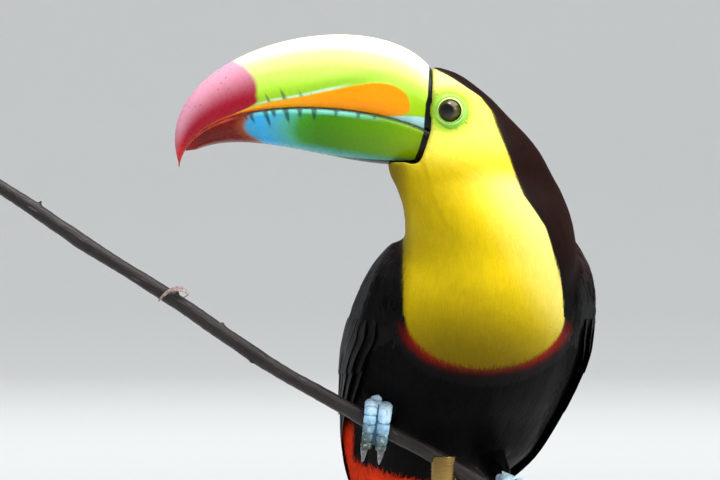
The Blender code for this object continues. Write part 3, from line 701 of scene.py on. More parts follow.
# %% Ticks by the mouth line
def ticks(tree, along, up, rows, width):
    """The mask of dark ticks, all of one width; rows gives each one's place along and its height."""
    bins = len(rows) + 1
    phases = [(0.0, 0.0), *((place, (i + 0.5) / bins) for i, (place, _) in enumerate(rows)), (1.0, 1.0)]
    widths = []
    for before, (place, _), after in zip(phases, rows, phases[2:]):
        crowding = (after[1] - before[1]) / (after[0] - before[0])
        widths.append((place, min(width * crowding * bins, 0.45)))
    widths = [(0.0, widths[0][1]), *widths, (1.0, widths[-1][1])]
    phase = add_node(tree, "FloatCurve", {"Value": along}, points=phases).outputs[0]
    half = add_node(tree, "FloatCurve", {"Value": along}, points=widths).outputs[0]
    heights = [(0.0, 0.1), *rows, (1.0, 0.1)]
    height = add_node(tree, "FloatCurve", {"Value": along}, points=heights).outputs[0]
    count = add_node(tree, "Math", {0: phase, 1: float(bins)}, operation="MULTIPLY").outputs[0]
    part = add_node(tree, "Math", {0: count}, operation="FRACT").outputs[0]
    off = add_node(tree, "Math", {0: part, 1: 0.5}, operation="SUBTRACT").outputs[0]
    off = add_node(tree, "Math", {0: off}, operation="ABSOLUTE").outputs[0]
    height = add_node(tree, "Math", {0: height, 1: 0.02}, operation="MAXIMUM").outputs[0]
    narrow = add_node(tree, "Math", {0: up, 1: height}, operation="DIVIDE").outputs[0]  # 1 at its point
    taper = add_node(tree, "Math", {0: narrow, 1: -0.7, 2: 1.0}, operation="MULTIPLY_ADD").outputs[0]
    across = add_node(tree, "Math", {0: off, 1: mask(tree, half, taper)}, operation="DIVIDE").outputs[0]
    first, last = rows[0][0] - 0.02, rows[-1][0] + 0.015
    from_first = add_node(tree, "Math", {0: along, 1: first}, operation="GREATER_THAN").outputs[0]
    to_last = add_node(tree, "Math", {0: along, 1: last}, operation="LESS_THAN").outputs[0]
    return mask(tree, (across, 1.5, 0.4), (narrow, 1.1, 0.55), from_first, to_last)


# %% Polished horn
def polished_horn(name):
    """Keratin, IOR 1.54, polished by wear, with shallow growth pits: the light stands on it in streaks."""
    made, tree, shader = new_material(name, Roughness=0.27, IOR=1.54, Specular_IOR_Level=0.18)
    along, up, place = horn_shares(tree)
    pits = {"Vector": place, "Scale": 420.0, "Detail": 4.0, "Roughness": 0.6}
    pits = add_node(tree, "TexNoise", pits).outputs[0]
    waves = add_node(tree, "TexNoise", {"Vector": place, "Scale": 60.0, "Detail": 2.0}).outputs[0]
    relief = add_node(tree, "Math", {0: pits, 1: 0.25, 2: waves}, operation="MULTIPLY_ADD").outputs[0]
    gloss = add_node(tree, "ValToRGB", {0: pits}, stops=((0.3, 0.24), (0.7, 0.34))).outputs[0]
    tree.links.new(gloss, shader.inputs["Roughness"])
    return made, tree, shader, along, up, place, relief


PITS_DEPTH = 0.3
BLACK_RING = "0B0D0B"  # the line round the bill's base, which runs on a little along the keel

# %% Upper half: yellow-green horn with an orange field and a crimson tip
upper_horn, tree, shader, along, up, place, relief = polished_horn("upper_bill_horn")
orange_top = add_node(tree, "FloatCurve", {"Value": along}, points=(
    (0, 0.24), (0.098, 0.25), (0.104, 0.33), (0.118, 0.385), (0.145, 0.42), (0.18, 0.43), (0.272, 0.354),
    (0.368, 0.25), (0.464, 0.165), (0.58, 0.12), (0.68, 0.06), (1.0, 0.045),
)).outputs[0]
orange_low = add_node(tree, "FloatCurve", {"Value": along}, points=(
    (0, 0.27), (0.098, 0.25), (0.104, 0.17), (0.12, 0.115), (0.15, 0.06), (0.2, 0.015), (0.25, 0.0),
    (1, 0.0),
)).outputs[0]
wedge_top = add_node(tree, "FloatCurve", {"Value": along}, points=(
    (0, 0.2), (0.055, 0.15), (0.145, 0.06), (0.22, 0.0), (1, 0.0),
)).outputs[0]
tip_edge = add_node(tree, "FloatCurve", {"Value": up}, points=(
    (0, 0.74), (0.05, 0.68), (0.125, 0.606), (0.3, 0.579), (0.52, 0.567), (0.8, 0.578), (1, 0.6),
)).outputs[0]
ring_width = ((0.0, 0.034), (0.35, 0.026), (0.55, 0.013), (1.0, 0.007))
ring_width = add_node(tree, "ValToRGB", {0: up}, stops=ring_width).outputs[0]
borders = ((up, orange_top), (up, orange_low), (up, wedge_top), (along, tip_edge), (along, ring_width))
above, inside, in_wedge, past_tip, past_ring = (
    add_node(tree, "Math", {0: value, 1: edge}, operation="SUBTRACT").outputs[0] for value, edge in borders
)
# The upper ticks stand in the orange field, and are measured from a line near its top.
tick_foot = add_node(tree, "Math", {0: orange_top, 1: 0.8}, operation="MULTIPLY").outputs[0]
risen = add_node(tree, "Math", {0: up, 1: tick_foot}, operation="SUBTRACT").outputs[0]
upper_rows = ((0.385, 0.07), (0.425, 0.08), (0.455, 0.13), (0.508, 0.22), (0.555, 0.19))
upper_ticks = ticks(tree, along, risen, upper_rows, 0.0085)
speck = add_node(tree, "TexVoronoi", {"Vector": place, "Scale": 320.0}).outputs["Distance"]
# The green goes paler up to the ridge, and near white along the top as painted highlight.
green_with_painted_ridge_highlight = add_node(tree, "ValToRGB", {0: up}, stops=(
    (0.0, "9ACC1E"), (0.3, "A8DA36"), (0.52, "C4EC60"), (0.72, "DCF48E"), (0.9, "FBFBC8"),
)).outputs[0]
orange = painted(tree, "FC9200", ("F4A606", (along, 0.3, 0.62)))
crimson = painted(
    tree, "960C26",
    # Painted highlight: the crimson tip goes pink towards the ridge.
    ("E6A0B8", (up, 0.25, 0.95)),
    ("C8241C", (along, 0.85, 1.0)),
    ("5A1024", (speck, 0.16, 0.08), 0.6),
)
colour = painted(
    tree, green_with_painted_ridge_highlight,
    ("96C208", (along, 0.22, 0.04), (up, 0.75, 0.2)),
    ("8CBE2C", (above, -0.02, 0.04), (above, 0.22, 0.06), (along, 0.08, 0.3), 0.75),
    ("B4E6F2", (in_wedge, 0.02, -0.02), (along, 0.24, 0.19)),
    ("B4E4C8", (above, -0.01, 0.005), (above, 0.05, 0.02), (along, 0.28, 0.36), (along, 0.62, 0.56), 0.85),
    ("4E6A2C", upper_ticks, (along, 0.36, 0.5), 0.75),
    (orange, (above, 0.02, -0.02), (inside, -0.015, 0.015)),
    (crimson, (past_tip, -0.008, 0.01)),
    # Painted light: the bright orange-red line along the cutting edge of the tip, as of light through the
    # thin horn.
    ("E4562A", (up, 0.075, 0.03), (along, 0.5, 0.66)),
    (BLACK_RING, (past_ring, 0.003, -0.002)),
    # Painted shade: darker horn along the edge by the mouth line, where the halves meet.
    ("4A3408", (up, 0.014, 0.006), (along, 0.62, 0.5), 0.2),
)
surfaced(tree, shader, colour, relief, PITS_DEPTH)

# %% Lower half: green horn, sky blue further out and dark red at the tip
lower_horn, tree, shader, along, up, place, relief = polished_horn("lower_bill_horn")
belly = add_node(tree, "Math", {0: up, 1: 2.0, 2: -1.1}, operation="MULTIPLY_ADD").outputs[0]
leaning = {0: mask(tree, belly, belly), 1: 0.05, 2: along}  # the fields' borders bow forwards
leaning = add_node(tree, "Math", leaning, operation="MULTIPLY_ADD").outputs[0]
fields = add_node(tree, "ValToRGB", {0: leaning}, between="LINEAR", stops=(
    (0.0, "86A800"), (0.2, "5C8E00"), (0.42, "3A7A02"), (0.485, "3C8A20"), (0.525, "4AA488"),
    (0.575, "42A0C0"), (0.62, "30A0D8"), (0.66, "3C98C4"), (0.685, "8A4020"), (0.72, "6A1008"),
    (0.85, "5E0C08"), (1.0, "8E1410"),
)).outputs[0]
lower_rows = (
    (0.237, 0.12), (0.29, 0.16), (0.362, 0.19), (0.427, 0.32), (0.474, 0.28), (0.514, 0.44), (0.554, 0.24),
    (0.58, 0.54), (0.63, 0.38), (0.648, 0.26),
)
lower_ticks = ticks(tree, along, up, lower_rows, 0.0095)
past_ring = add_node(tree, "Math", {0: up, 1: 0.006, 2: along}, operation="MULTIPLY_ADD").outputs[0]
keel_edge = add_node(tree, "Math", {0: along, 1: 0.32, 2: 0.87}, operation="MULTIPLY_ADD").outputs[0]
in_keel = add_node(tree, "Math", {0: up, 1: keel_edge}, operation="SUBTRACT").outputs[0]
ring = mask(tree, (past_ring, 0.036, 0.030))
keel = mask(tree, (in_keel, -0.01, 0.01), (along, 0.42, 0.3))
ring_and_keel = add_node(tree, "Math", {0: ring, 1: keel}, operation="MAXIMUM").outputs[0]
colour = painted(
    tree, fields,
    ("4E9CA4", (up, 0.78, 0.95), (along, 0.62, 0.5), 0.8),
    ("6CC0B4", (up, 0.17, 0.08), (along, 0.18, 0.36), (along, 0.64, 0.58), 0.85),
    ("163430", lower_ticks, 0.8),
    ("C8482C", (up, 0.12, 0.04), (along, 0.66, 0.71)),
    (BLACK_RING, ring_and_keel),
    # Painted shade: darker horn along the edge by the mouth line, where the halves meet.
    ("3C4A14", (up, 0.014, 0.006), (along, 0.62, 0.5), 0.15),
)
surfaced(tree, shader, colour, relief, PITS_DEPTH)
finished(bill_upper, upper_horn, "green_bill", "bill_upper")
finished(bill_lower, lower_horn, "green_and_blue_bill", "bill_lower")

# %% [markdown]
# ## The eyes
# The eye is a wet ball. Its pole is turned to the way it looks, so rings round the pole draw the pupil, the
# dark brown iris and the edge of the white, and the cornea bulges over them. The lids and the bare lime
# skin round the eye are one ring of faces. Near the eye its height follows the ball, and further out it
# follows the face, so the lids sit close on the ball and the ring has no gap at the cheek.

# %% Eyeballs
EYE_RADIUS = 7.2
GAZE = Vector((-0.26, -1.0, 0.0)).normalized()  # the left eye; the right one looks the other way
# The wet cornea, IOR 1.37, is as smooth as water: it gives a dark ball one small sharp light.
iris, tree, shader = new_material("wet_eye", Roughness=0.03, IOR=1.37, Coat_Weight=0.2, Coat_Roughness=0.03)
down_ball = add_node(tree, "SeparateXYZ", {0: add_node(tree, "UVMap").outputs[0]}).outputs[1]
from_pole = add_node(tree, "Math", {0: 1.0, 1: down_ball}, operation="SUBTRACT").outputs[0]
place = add_node(tree, "TexCoord").outputs["Object"]
threads = add_node(tree, "TexNoise", {"Vector": place, "Scale": 900.0}).outputs[0]
moved = add_node(tree, "Math", {0: threads, 1: 0.02, 2: from_pole}, operation="MULTIPLY_ADD").outputs[0]
colour = add_node(tree, "ValToRGB", {0: moved}, between="LINEAR", stops=(
    (0.0, "020202"), (0.135, "030302"), (0.16, "1C1A0A"), (0.23, "4A4412"), (0.33, "302C0C"),
    (0.38, "070705"), (0.5, "14120C"),
)).outputs[0]
surfaced(tree, shader, colour)
for side, flip in (("left", 1), ("right", -1)):
    low, high = (Vector(corner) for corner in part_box("eye_" + side))
    gaze = Vector((GAZE.x, GAZE.y * flip, GAZE.z))
    deselect()
    bpy.ops.mesh.primitive_uv_sphere_add(segments=64, ring_count=48, radius=EYE_RADIUS * MM)
    ball = bpy.context.object
    ball.name = "eyeball_" + side
    for vert in ball.data.vertices:  # the cornea stands out round the pole
        vert.co *= 1 + 0.05 * smooth_step(0.62, 0.95, vert.co.z / (EYE_RADIUS * MM))
    ball.rotation_euler = gaze.to_track_quat("Z", "Y").to_euler()
    ball.location = (low + high) / 2 + Vector((0, 0, EYE_RISE * MM))
    settle(ball)
    finished(ball, iris, "eye", "eye_" + side)

# %% Lids and the bare skin round the eye
# Radius from the eye's axis, and rise over the ball or, further out, over the face.
LID_RINGS = (
    (5.75, -0.1), (5.8, 0.3), (5.92, 0.58), (6.15, 0.74), (6.4, 0.66), (6.58, 0.36), (6.7, 0.34),
    (6.9, 0.55), (7.2, 0.42), (7.6, 0.25), (8.0, 0.03), (8.4, -0.28), (8.9, -0.6), (9.4, -0.9),
    (10.0, -1.3),
)
FOLDS, BEADS = 17, 46
BEAD_RADIUS = 6.15  # of the ring of beads that the lid's rim is
SOCKET_RADIUS = 8.2
TURNS = 120
# Bare skin, a little oily: its soft shine picks out the beads and folds.
lid_skin, tree, shader = new_material("bare_eye_skin", Roughness=0.4, Specular_IOR_Level=0.35)
ring = add_node(tree, "SeparateXYZ", {0: add_node(tree, "UVMap", uv_map="ring").outputs[0]})
turned, radius = ring.outputs[0], ring.outputs[1]
place = add_node(tree, "TexCoord").outputs["Object"]
pores = add_node(tree, "TexVoronoi", {"Vector": place, "Scale": 1500.0}).outputs["Distance"]
colour = add_node(tree, "ValToRGB", {0: radius}, between="LINEAR", stops=(
    (0.0, "141C08"), (0.035, "2C3C10"), (0.06, "C8E45C"), (0.10, "ECF8A4"), (0.165, "D8F07C"),
    (0.20, "5C8420"), (0.225, "3E6A1A"), (0.27, "6EA42E"), (0.42, "7EB434"), (0.6, "94C034"),
    (0.8, "AECA34"),
)).outputs[0]
bead_turn = add_node(tree, "Math", {0: turned, 1: BEADS * math.tau}, operation="MULTIPLY").outputs[0]
notch = add_node(tree, "Math", {0: bead_turn}, operation="SINE").outputs[0]
turn = add_node(tree, "Math", {0: turned, 1: math.tau}, operation="MULTIPLY").outputs[0]
below = add_node(tree, "Math", {0: turn}, operation="SINE").outputs[0]
turn = add_node(tree, "Math", {0: turned, 1: math.tau, 2: 0.9}, operation="MULTIPLY_ADD").outputs[0]
behind = add_node(tree, "Math", {0: turn}, operation="SINE").outputs[0]
colour = painted(
    tree, colour,
    ("5C7C20", (notch, 0.2, 0.9), (radius, 0.06, 0.08), (radius, 0.18, 0.15), 0.45),
    # Painted shade: a darker green band in the bare skin below the eye.
    ("6C9A10", (radius, 0.76, 0.84), (radius, 0.94, 0.87), (below, 0.1, 0.7), 0.6),
    ("74B848", (behind, 0.2, 1.0), (radius, 0.2, 0.3), 0.55),
    ("6C9C28", (pores, 0.3, 0.6), 0.12),
)
surfaced(tree, shader, colour, pores, 0.05)


# %% Heights of the lids
turns = np.arange(TURNS) * math.tau / TURNS


def face_height(centre, socket, flip, radius):
    """How far the face stands out beside the eye's centre, at a radius and at every turn."""
    heights = []
    for turn in turns:
        spot = Vector((centre.x + radius * MM * math.cos(turn), 0, centre.z + radius * MM * math.sin(turn)))
        off = spot - Vector((socket.x, 0, socket.z))
        spot += off.normalized() * max(SOCKET_RADIUS * MM - off.length, 0)  # never down in the socket
        hit = form_tree.ray_cast(Vector((spot.x, 0.1 * flip, spot.z)), Vector((0, -flip, 0)), 0.12)[0]
        heights.append((hit.y - centre.y) * flip / MM if hit else -9.0)
    heights = np.array(heights)
    for _ in range(6):
        heights = 0.25 * np.roll(heights, 1) + 0.5 * heights + 0.25 * np.roll(heights, -1)
    return heights


def lid_height(radius, rise, face, rim_face):
    """How far a ring of the lid stands out, at every turn, with its beads and folds."""
    ball = math.sqrt(max(EYE_RADIUS**2 - radius**2, 0.0))
    near_ball = math.sqrt(EYE_RADIUS**2 - min(radius, 6.5) ** 2)
    face = np.maximum(face, rim_face - 2.2)
    share = float(smooth_step(6.0, 7.3, radius))
    height = np.maximum(near_ball + (face - near_ball) * share, ball) + rise
    height += 0.07 * np.sin(BEADS * turns) * math.exp(-(((radius - BEAD_RADIUS) / 0.3) ** 2))
    height += 0.06 * np.sin(FOLDS * turns + 2 * radius) * float(smooth_step(7.0, 7.6, radius))
    return height


# %% Both lids
for side, flip in (("left", -1), ("right", 1)):
    low, high = (Vector(corner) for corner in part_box("eye_" + side))
    socket = (low + high) / 2
    centre = socket + Vector((0, 0, EYE_RISE * MM))
    rim_face = face_height(centre, socket, flip, SOCKET_RADIUS)
    corners = []
    for radius, rise in LID_RINGS:
        face = rim_face if radius < SOCKET_RADIUS else face_height(centre, socket, flip, radius)
        for turn, out in zip(turns, lid_height(radius, rise, face, rim_face)):
            corner = Vector((radius * math.cos(turn), out * flip, radius * math.sin(turn)))
            corners.append(centre + corner * MM)
    faces = []
    for i in range(len(LID_RINGS) - 1):
        for k in range(TURNS):
            a, b = i * TURNS + k, i * TURNS + (k + 1) % TURNS
            faces.append((a, b, b + TURNS, a + TURNS) if flip < 0 else (b, a, a + TURNS, b + TURNS))
    lid = mesh_object("eyelid_" + side, corners, faces)
    ring_map = lid.data.uv_layers.new(name="ring")
    for loop in lid.data.loops:
        point = (lid.data.vertices[loop.vertex_index].co - centre) / MM
        radius = math.hypot(point.x, point.z)
        share = (radius - LID_RINGS[0][0]) / (LID_RINGS[-1][0] - LID_RINGS[0][0])
        ring_map.data[loop.index].uv = (math.atan2(-point.z, point.x) / math.tau, share)
    thick = lid.modifiers.new("thickness", "SOLIDIFY")
    thick.thickness, thick.offset = 0.3 * MM, -1.0
    pick(lid)
    bpy.ops.object.modifier_apply(modifier=thick.name)
    finished(lid, lid_skin, "eye")

# %% [markdown]
# ## Perch and claws
# The perch is a thin woody stem. Its solid already has the bends, buds and stubs, so a copy is remeshed
# finely and its bark raised by fine lengthwise ridges and small pores. Bark this young is smooth, dark and
# purplish, with a waxy shine. The claws are copies too, made round with a subdivision surface.


# %% Fine copies of solids
def fine_copy(node, name, voxel=None, rounds=4, levels=0):
    """A merged copy of a solid, remeshed by voxels, or subdivided."""
    mesh = solid_copy(node)
    obj = mesh_object(name, [], [])
    mesh.to_mesh(obj.data)
    mesh.free()
    pick(obj)
    if voxel:
        remesh = obj.modifiers.new("remesh", "REMESH")
        remesh.mode, remesh.voxel_size = "VOXEL", voxel * MM
        smooth = obj.modifiers.new("smooth", "SMOOTH")
        smooth.factor, smooth.iterations = 0.5, rounds
    if levels:
        subdivide = obj.modifiers.new("subdivide", "SUBSURF")
        subdivide.levels = subdivide.render_levels = levels
    for modifier in list(obj.modifiers):
        bpy.ops.object.modifier_apply(modifier=modifier.name)
    return obj


# %% Bark
PERCH_SLOPE = math.radians(-31)
perch = fine_copy("perch", "perch_bark", voxel=0.75, rounds=8)
# Young bark with its wax: nearly smooth, with a dull shine, fine lengthwise fibres and pale pores.
bark, tree, shader = new_material("young_waxy_bark", Roughness=0.5, Specular_IOR_Level=0.3)
place = add_node(tree, "TexCoord").outputs["Object"]
stretched = add_node(tree, "Mapping", {"Vector": place, "Rotation": (0, PERCH_SLOPE, 0)}).outputs[0]
stretched = add_node(tree, "Mapping", {"Vector": stretched, "Scale": (0.16, 1.0, 1.0)}).outputs[0]
fibres = add_node(tree, "TexNoise", {"Vector": stretched, "Scale": 900.0, "Detail": 5.0}).outputs[0]
blotches = add_node(tree, "TexNoise", {"Vector": place, "Scale": 70.0, "Detail": 4.0}).outputs[0]
pores = add_node(tree, "TexVoronoi", {"Vector": stretched, "Scale": 260.0}).outputs["Distance"]
wood = ((0.3, "181314"), (0.5, "201A1B"), (0.7, "2A2223"))
wood = add_node(tree, "ValToRGB", {0: blotches}, stops=wood).outputs[0]
pore_mask = mask(tree, (pores, 0.16, 0.08))
colour = painted(tree, wood, ("362D2F", (fibres, 0.55, 0.75)), ("6E5F5A", pore_mask, 0.4))
height = add_node(tree, "Math", {0: pore_mask, 1: 0.8, 2: fibres}, operation="MULTIPLY_ADD").outputs[0]
surfaced(tree, shader, colour, height, 0.3)

# %% Relief of the bark
KNOTS = (-211, -121, -62)  # the x of each swelling
places, outward = mesh_arrays(perch.data)
way = places[:, 0] / MM
knots = sum(np.exp(-(((way - knot) / 6) ** 2)) for knot in KNOTS)
ripple = 0.10 * np.sin(way * 0.9 + 3 * np.sin(way * 0.13)) + 0.16 * np.sin(way * 0.21)
places += outward * (0.25 * knots + 0.5 * ripple)[:, None] * MM
perch.data.vertices.foreach_set("co", places.ravel())
perch.data.update()
finished(perch, bark, "bark", "perch")

# %% A curl of lifted bark
CURL = ((-168, 304.5), (-164, 308.5), (-159, 310.8), (-154.5, 310.0), (-152.5, 307.6), (-155, 306.0))  # x, z
# The inner side of peeled bark is dry and papery, so it is paler than the outside.
curl_bark, tree, shader = new_material("peeled_bark", Roughness=0.6)
place = add_node(tree, "TexCoord").outputs["Object"]
noise = add_node(tree, "TexNoise", {"Vector": place, "Scale": 500.0, "Detail": 3.0}).outputs[0]
colour = ((0.3, "5E4C4A"), (0.55, "94807C"), (0.75, "B8A8A4"))
surfaced(tree, shader, add_node(tree, "ValToRGB", {0: noise}, stops=colour).outputs[0])
strip = np.array([(x, -4.3 - 1.2 * math.sin(i * 1.1), z) for i, (x, z) in enumerate(CURL)])


def along_strip(points, share):
    """A point on the smooth line through points, at a share of its way."""
    place = share * (len(points) - 1)
    i = min(int(place), len(points) - 2)
    t = place - i
    before, after = points[max(i - 1, 0)], points[min(i + 2, len(points) - 1)]
    a, b = points[i], points[i + 1]
    bend = (2 * before - 5 * a + 4 * b - after) * t**2 + (3 * a - before - 3 * b + after) * t**3
    return 0.5 * (2 * a + (b - before) * t + bend)


def curl_place(u, v):
    """The place on the curl at shares along and across, which turns over as it goes."""
    centre = along_strip(strip, u)
    width = 1.5 * math.sin(math.pi * min(0.12 + 0.88 * u, 0.97)) ** 0.6
    turn = 1.2 + 2.2 * u
    across = np.array((0.2, -math.cos(turn), math.sin(turn)))
    return Vector(centre + across * width * (v - 0.5) * 2 * (1 + 0.15 * math.sin(17 * u))) * MM


curl = rolled_grid("bark_curl", 26, 5, curl_place, closed=False)
thick = curl.modifiers.new("thickness", "SOLIDIFY")
thick.thickness = 0.35 * MM
pick(curl)
bpy.ops.object.modifier_apply(modifier=thick.name)
finished(curl, curl_bark, "bark")

# %% Claws
# Keratin, IOR 1.54, worn by the perch: grey and streaked, with a soft shine.
claw_horn, tree, shader = new_material("claw_horn", Roughness=0.35, IOR=1.54, Coat_Weight=0.15)
place = add_node(tree, "TexCoord").outputs["Object"]
noise = add_node(tree, "TexNoise", {"Vector": place, "Scale": 600.0, "Detail": 3.0}).outputs[0]
colour = ((0.3, "444548"), (0.55, "66686C"), (0.75, "A0A0A4"))
surfaced(tree, shader, add_node(tree, "ValToRGB", {0: noise}, stops=colour).outputs[0], noise, 0.12)
for side in ("left", "right"):
    for number in range(1, 5):
        node = f"claw_{side}_{number}"
        finished(fine_copy(node, f"claw_horn_{side}_{number}", levels=2), claw_horn, "claw", node)

# %% [markdown]
# ## The stand
# A turned walnut foot and a brass rod with a flange and a cup. Each is spun from its profile, with far
# more steps than the solid has, so that its rim is round. Walnut shows its grain as stretched rings, and
# brass is brushed round its axis as it came from the lathe.


# %% Turned pieces
def turned_piece(name, profile, centre, steps):
    """A piece spun about the upright line through centre; profile is radius and height in mm."""
    deselect()
    obj = mesh_object(name, [(r * MM, 0, z * MM) for r, z in profile], [])
    mesh = bmesh.new()
    mesh.from_mesh(obj.data)
    mesh.verts.ensure_lookup_table()
    for i in range(len(profile) - 1):
        mesh.edges.new((mesh.verts[i], mesh.verts[i + 1]))
    mesh.to_mesh(obj.data)
    mesh.free()
    pick(obj)
    bpy.ops.object.mode_set(mode="EDIT")
    bpy.ops.mesh.select_all(action="SELECT")
    bpy.ops.mesh.spin(steps=steps, angle=math.tau, center=(0, 0, 0), axis=(0, 0, 1))
    bpy.ops.mesh.select_all(action="SELECT")
    bpy.ops.mesh.remove_doubles(threshold=0.00001)
    bpy.ops.mesh.normals_make_consistent(inside=False)
    bpy.ops.object.mode_set(mode="OBJECT")
    obj.location = centre
    settle(obj)
    return obj


ARC_STEPS = 5


def rounded(corners, radius):
    """A profile whose inner corners are rounded by short arcs."""
    out = [corners[0]]
    for before, here, after in zip(corners, corners[1:], corners[2:]):
        here = np.array(here, float)
        ways = [np.array(other, float) - here for other in (before, after)]
        cut = min(radius, *(0.45 * np.linalg.norm(way) for way in ways))
        start, end = (here + way / np.linalg.norm(way) * cut for way in ways)
        for share in np.linspace(0, 1, ARC_STEPS + 1):
            out.append(tuple((1 - share) ** 2 * start + 2 * share * (1 - share) * here + share**2 * end))
    return [*out, corners[-1]]


# %% Walnut foot
base_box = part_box("stand_base")
radius, height = base_box[1][0] / MM, base_box[1][2] / MM
edge = [(12, 0), (9, 1.5), (7, 5), (2, 9), (0, 12), (0, 18), (2, 20)]
corners = [(0, height)] + [(radius - inward, height - down) for inward, down in edge] + [(0, 0)]
base = turned_piece("stand_base_walnut", rounded(corners, 1.6), (0, 0, 0), steps=160)
# Walnut, turned and oiled: a soft gloss, through which the figure and the open pores show.
walnut, tree, shader = new_material("oiled_walnut", Roughness=0.36, Coat_Weight=0.2, Coat_Roughness=0.25)
place = add_node(tree, "TexCoord").outputs["Object"]
plank = {"Vector": place, "Rotation": (0.09, 0.05, 0.35), "Scale": (1.2, 14.0, 14.0)}
plank = add_node(tree, "Mapping", plank).outputs[0]
bent = {"Vector": plank, "Scale": 3.0, "Detail": 5.0, "Distortion": 0.6}
bent = add_node(tree, "TexNoise", bent).outputs[0]
rings = {"Vector": plank, "Scale": 4.2, "Distortion": 7.0, "Detail": 3.0}
rings = add_node(tree, "TexWave", rings).outputs["Fac"]
pores = {"Vector": place, "Rotation": (0, 0, 0.35), "Scale": (14.0, 160.0, 160.0)}
pores = add_node(tree, "Mapping", pores).outputs[0]
pores = add_node(tree, "TexNoise", {"Vector": pores, "Scale": 9.0, "Detail": 2.0}).outputs[0]
half_bent = add_node(tree, "Math", {0: bent, 1: 0.5}, operation="MULTIPLY").outputs[0]
figure = add_node(tree, "Math", {0: rings, 1: 0.5, 2: half_bent}, operation="MULTIPLY_ADD").outputs[0]
wood = ((0.2, "34200F"), (0.45, "4E3019"), (0.65, "683F22"), (0.85, "80552F"))
wood = add_node(tree, "ValToRGB", {0: figure}, stops=wood).outputs[0]
colour = painted(tree, wood, ("24160B", (pores, 0.62, 0.7)))
surfaced(tree, shader, colour, mask(tree, (pores, 0.7, 0.6)), 0.08)
finished(base, walnut, "walnut", "stand_base")

# %% Brass rod, flange and cup
rod_box, cup_box, flange_box = (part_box("stand_" + name) for name in ("rod", "cradle", "collar"))
rod_x = 0.5 * (rod_box[0][0] + rod_box[1][0])
axis = (rod_x, 0, 0)
floor = flange_box[0][2] / MM
rod_radius = 0.5 * (rod_box[1][0] - rod_box[0][0]) / MM
low, high = rod_box[0][2] / MM, rod_box[1][2] / MM
profile = [(0, high), (rod_radius, high), (rod_radius, low), (0, low)]
rod = turned_piece("stand_rod_brass", rounded(profile, 0.4), axis, steps=64)
profile = [(0, 7), (5.5, 7), (7, 4), (16, 2), (17, 1), (17, 0), (0, 0)]
profile = [(r, floor + z) for r, z in profile]
flange = turned_piece("stand_collar_brass", rounded(profile, 1.2), axis, steps=96)
top, foot_z = cup_box[1][2] / MM, cup_box[0][2] / MM
cup_radius = 0.5 * (cup_box[1][0] - cup_box[0][0]) / MM
rim = top + 1.5  # the saddle that the perch lies in is cut down into this
profile = [(0, rim), (cup_radius, rim), (cup_radius, foot_z + 3), (cup_radius - 1.9, foot_z), (0, foot_z)]
cup = turned_piece("stand_cradle_brass", rounded(profile, 0.5), axis, steps=96)
saddle = fine_copy("perch", "saddle_cutter", voxel=1.0, rounds=3)
swell = saddle.modifiers.new("swell", "DISPLACE")
swell.strength, swell.mid_level = 0.35 * MM, 0.0
pick(saddle)
bpy.ops.object.modifier_apply(modifier=swell.name)
cut = cup.modifiers.new("saddle", "BOOLEAN")
cut.operation, cut.object, cut.solver = "DIFFERENCE", saddle, "EXACT"
pick(cup)
bpy.ops.object.modifier_apply(modifier=cut.name)
bpy.data.objects.remove(saddle)
# Brass, turned and left satin: a metal takes its colour in its shine, and the tool's rings spread it.
brass, tree, shader = new_material("satin_brass", Metallic=1.0, Roughness=0.28)
place = add_node(tree, "TexCoord").outputs["Object"]
turning = add_node(tree, "Mapping", {"Vector": place, "Scale": (1, 1, 60)}).outputs[0]
marks = add_node(tree, "TexNoise", {"Vector": turning, "Scale": 60.0, "Detail": 3.0}).outputs[0]
tarnish = add_node(tree, "TexNoise", {"Vector": place, "Scale": 45.0, "Detail": 3.0}).outputs[0]
colour = add_node(tree, "ValToRGB", {0: tarnish}, stops=((0.35, "8E7240"), (0.7, "A88A52"))).outputs[0]
gloss = add_node(tree, "ValToRGB", {0: marks}, stops=((0.3, 0.22), (0.7, 0.36))).outputs[0]
tree.links.new(gloss, shader.inputs["Roughness"])
surfaced(tree, shader, colour, marks, 0.02)
for piece, node in ((rod, "rod"), (flange, "collar"), (cup, "cradle")):
    finished(piece, brass, "brass", "stand_" + node)
    pick(piece)
    bpy.ops.object.shade_smooth_by_angle(angle=math.radians(35))
deselect()

# %% [markdown]
# ## The coat
# Feathers are thin vanes of mesh. One small grid is the pattern for each kind: shares along the shaft and
# across it, and a rule for how wide the vane is. For every root on the skin the grid is laid along the
# surface, in the direction that the plumage lies there, low at the root and up to the coat's surface at the
# tip, so that each tip covers the roots behind it. All of that is done at once in arrays, and the result is
# one mesh for a few thousand feathers.
#
# The direction comes from a few guides: places on the bird, and the way that feathers point there. Between
# guides it turns gently. Guides on the head count for both of its sides.

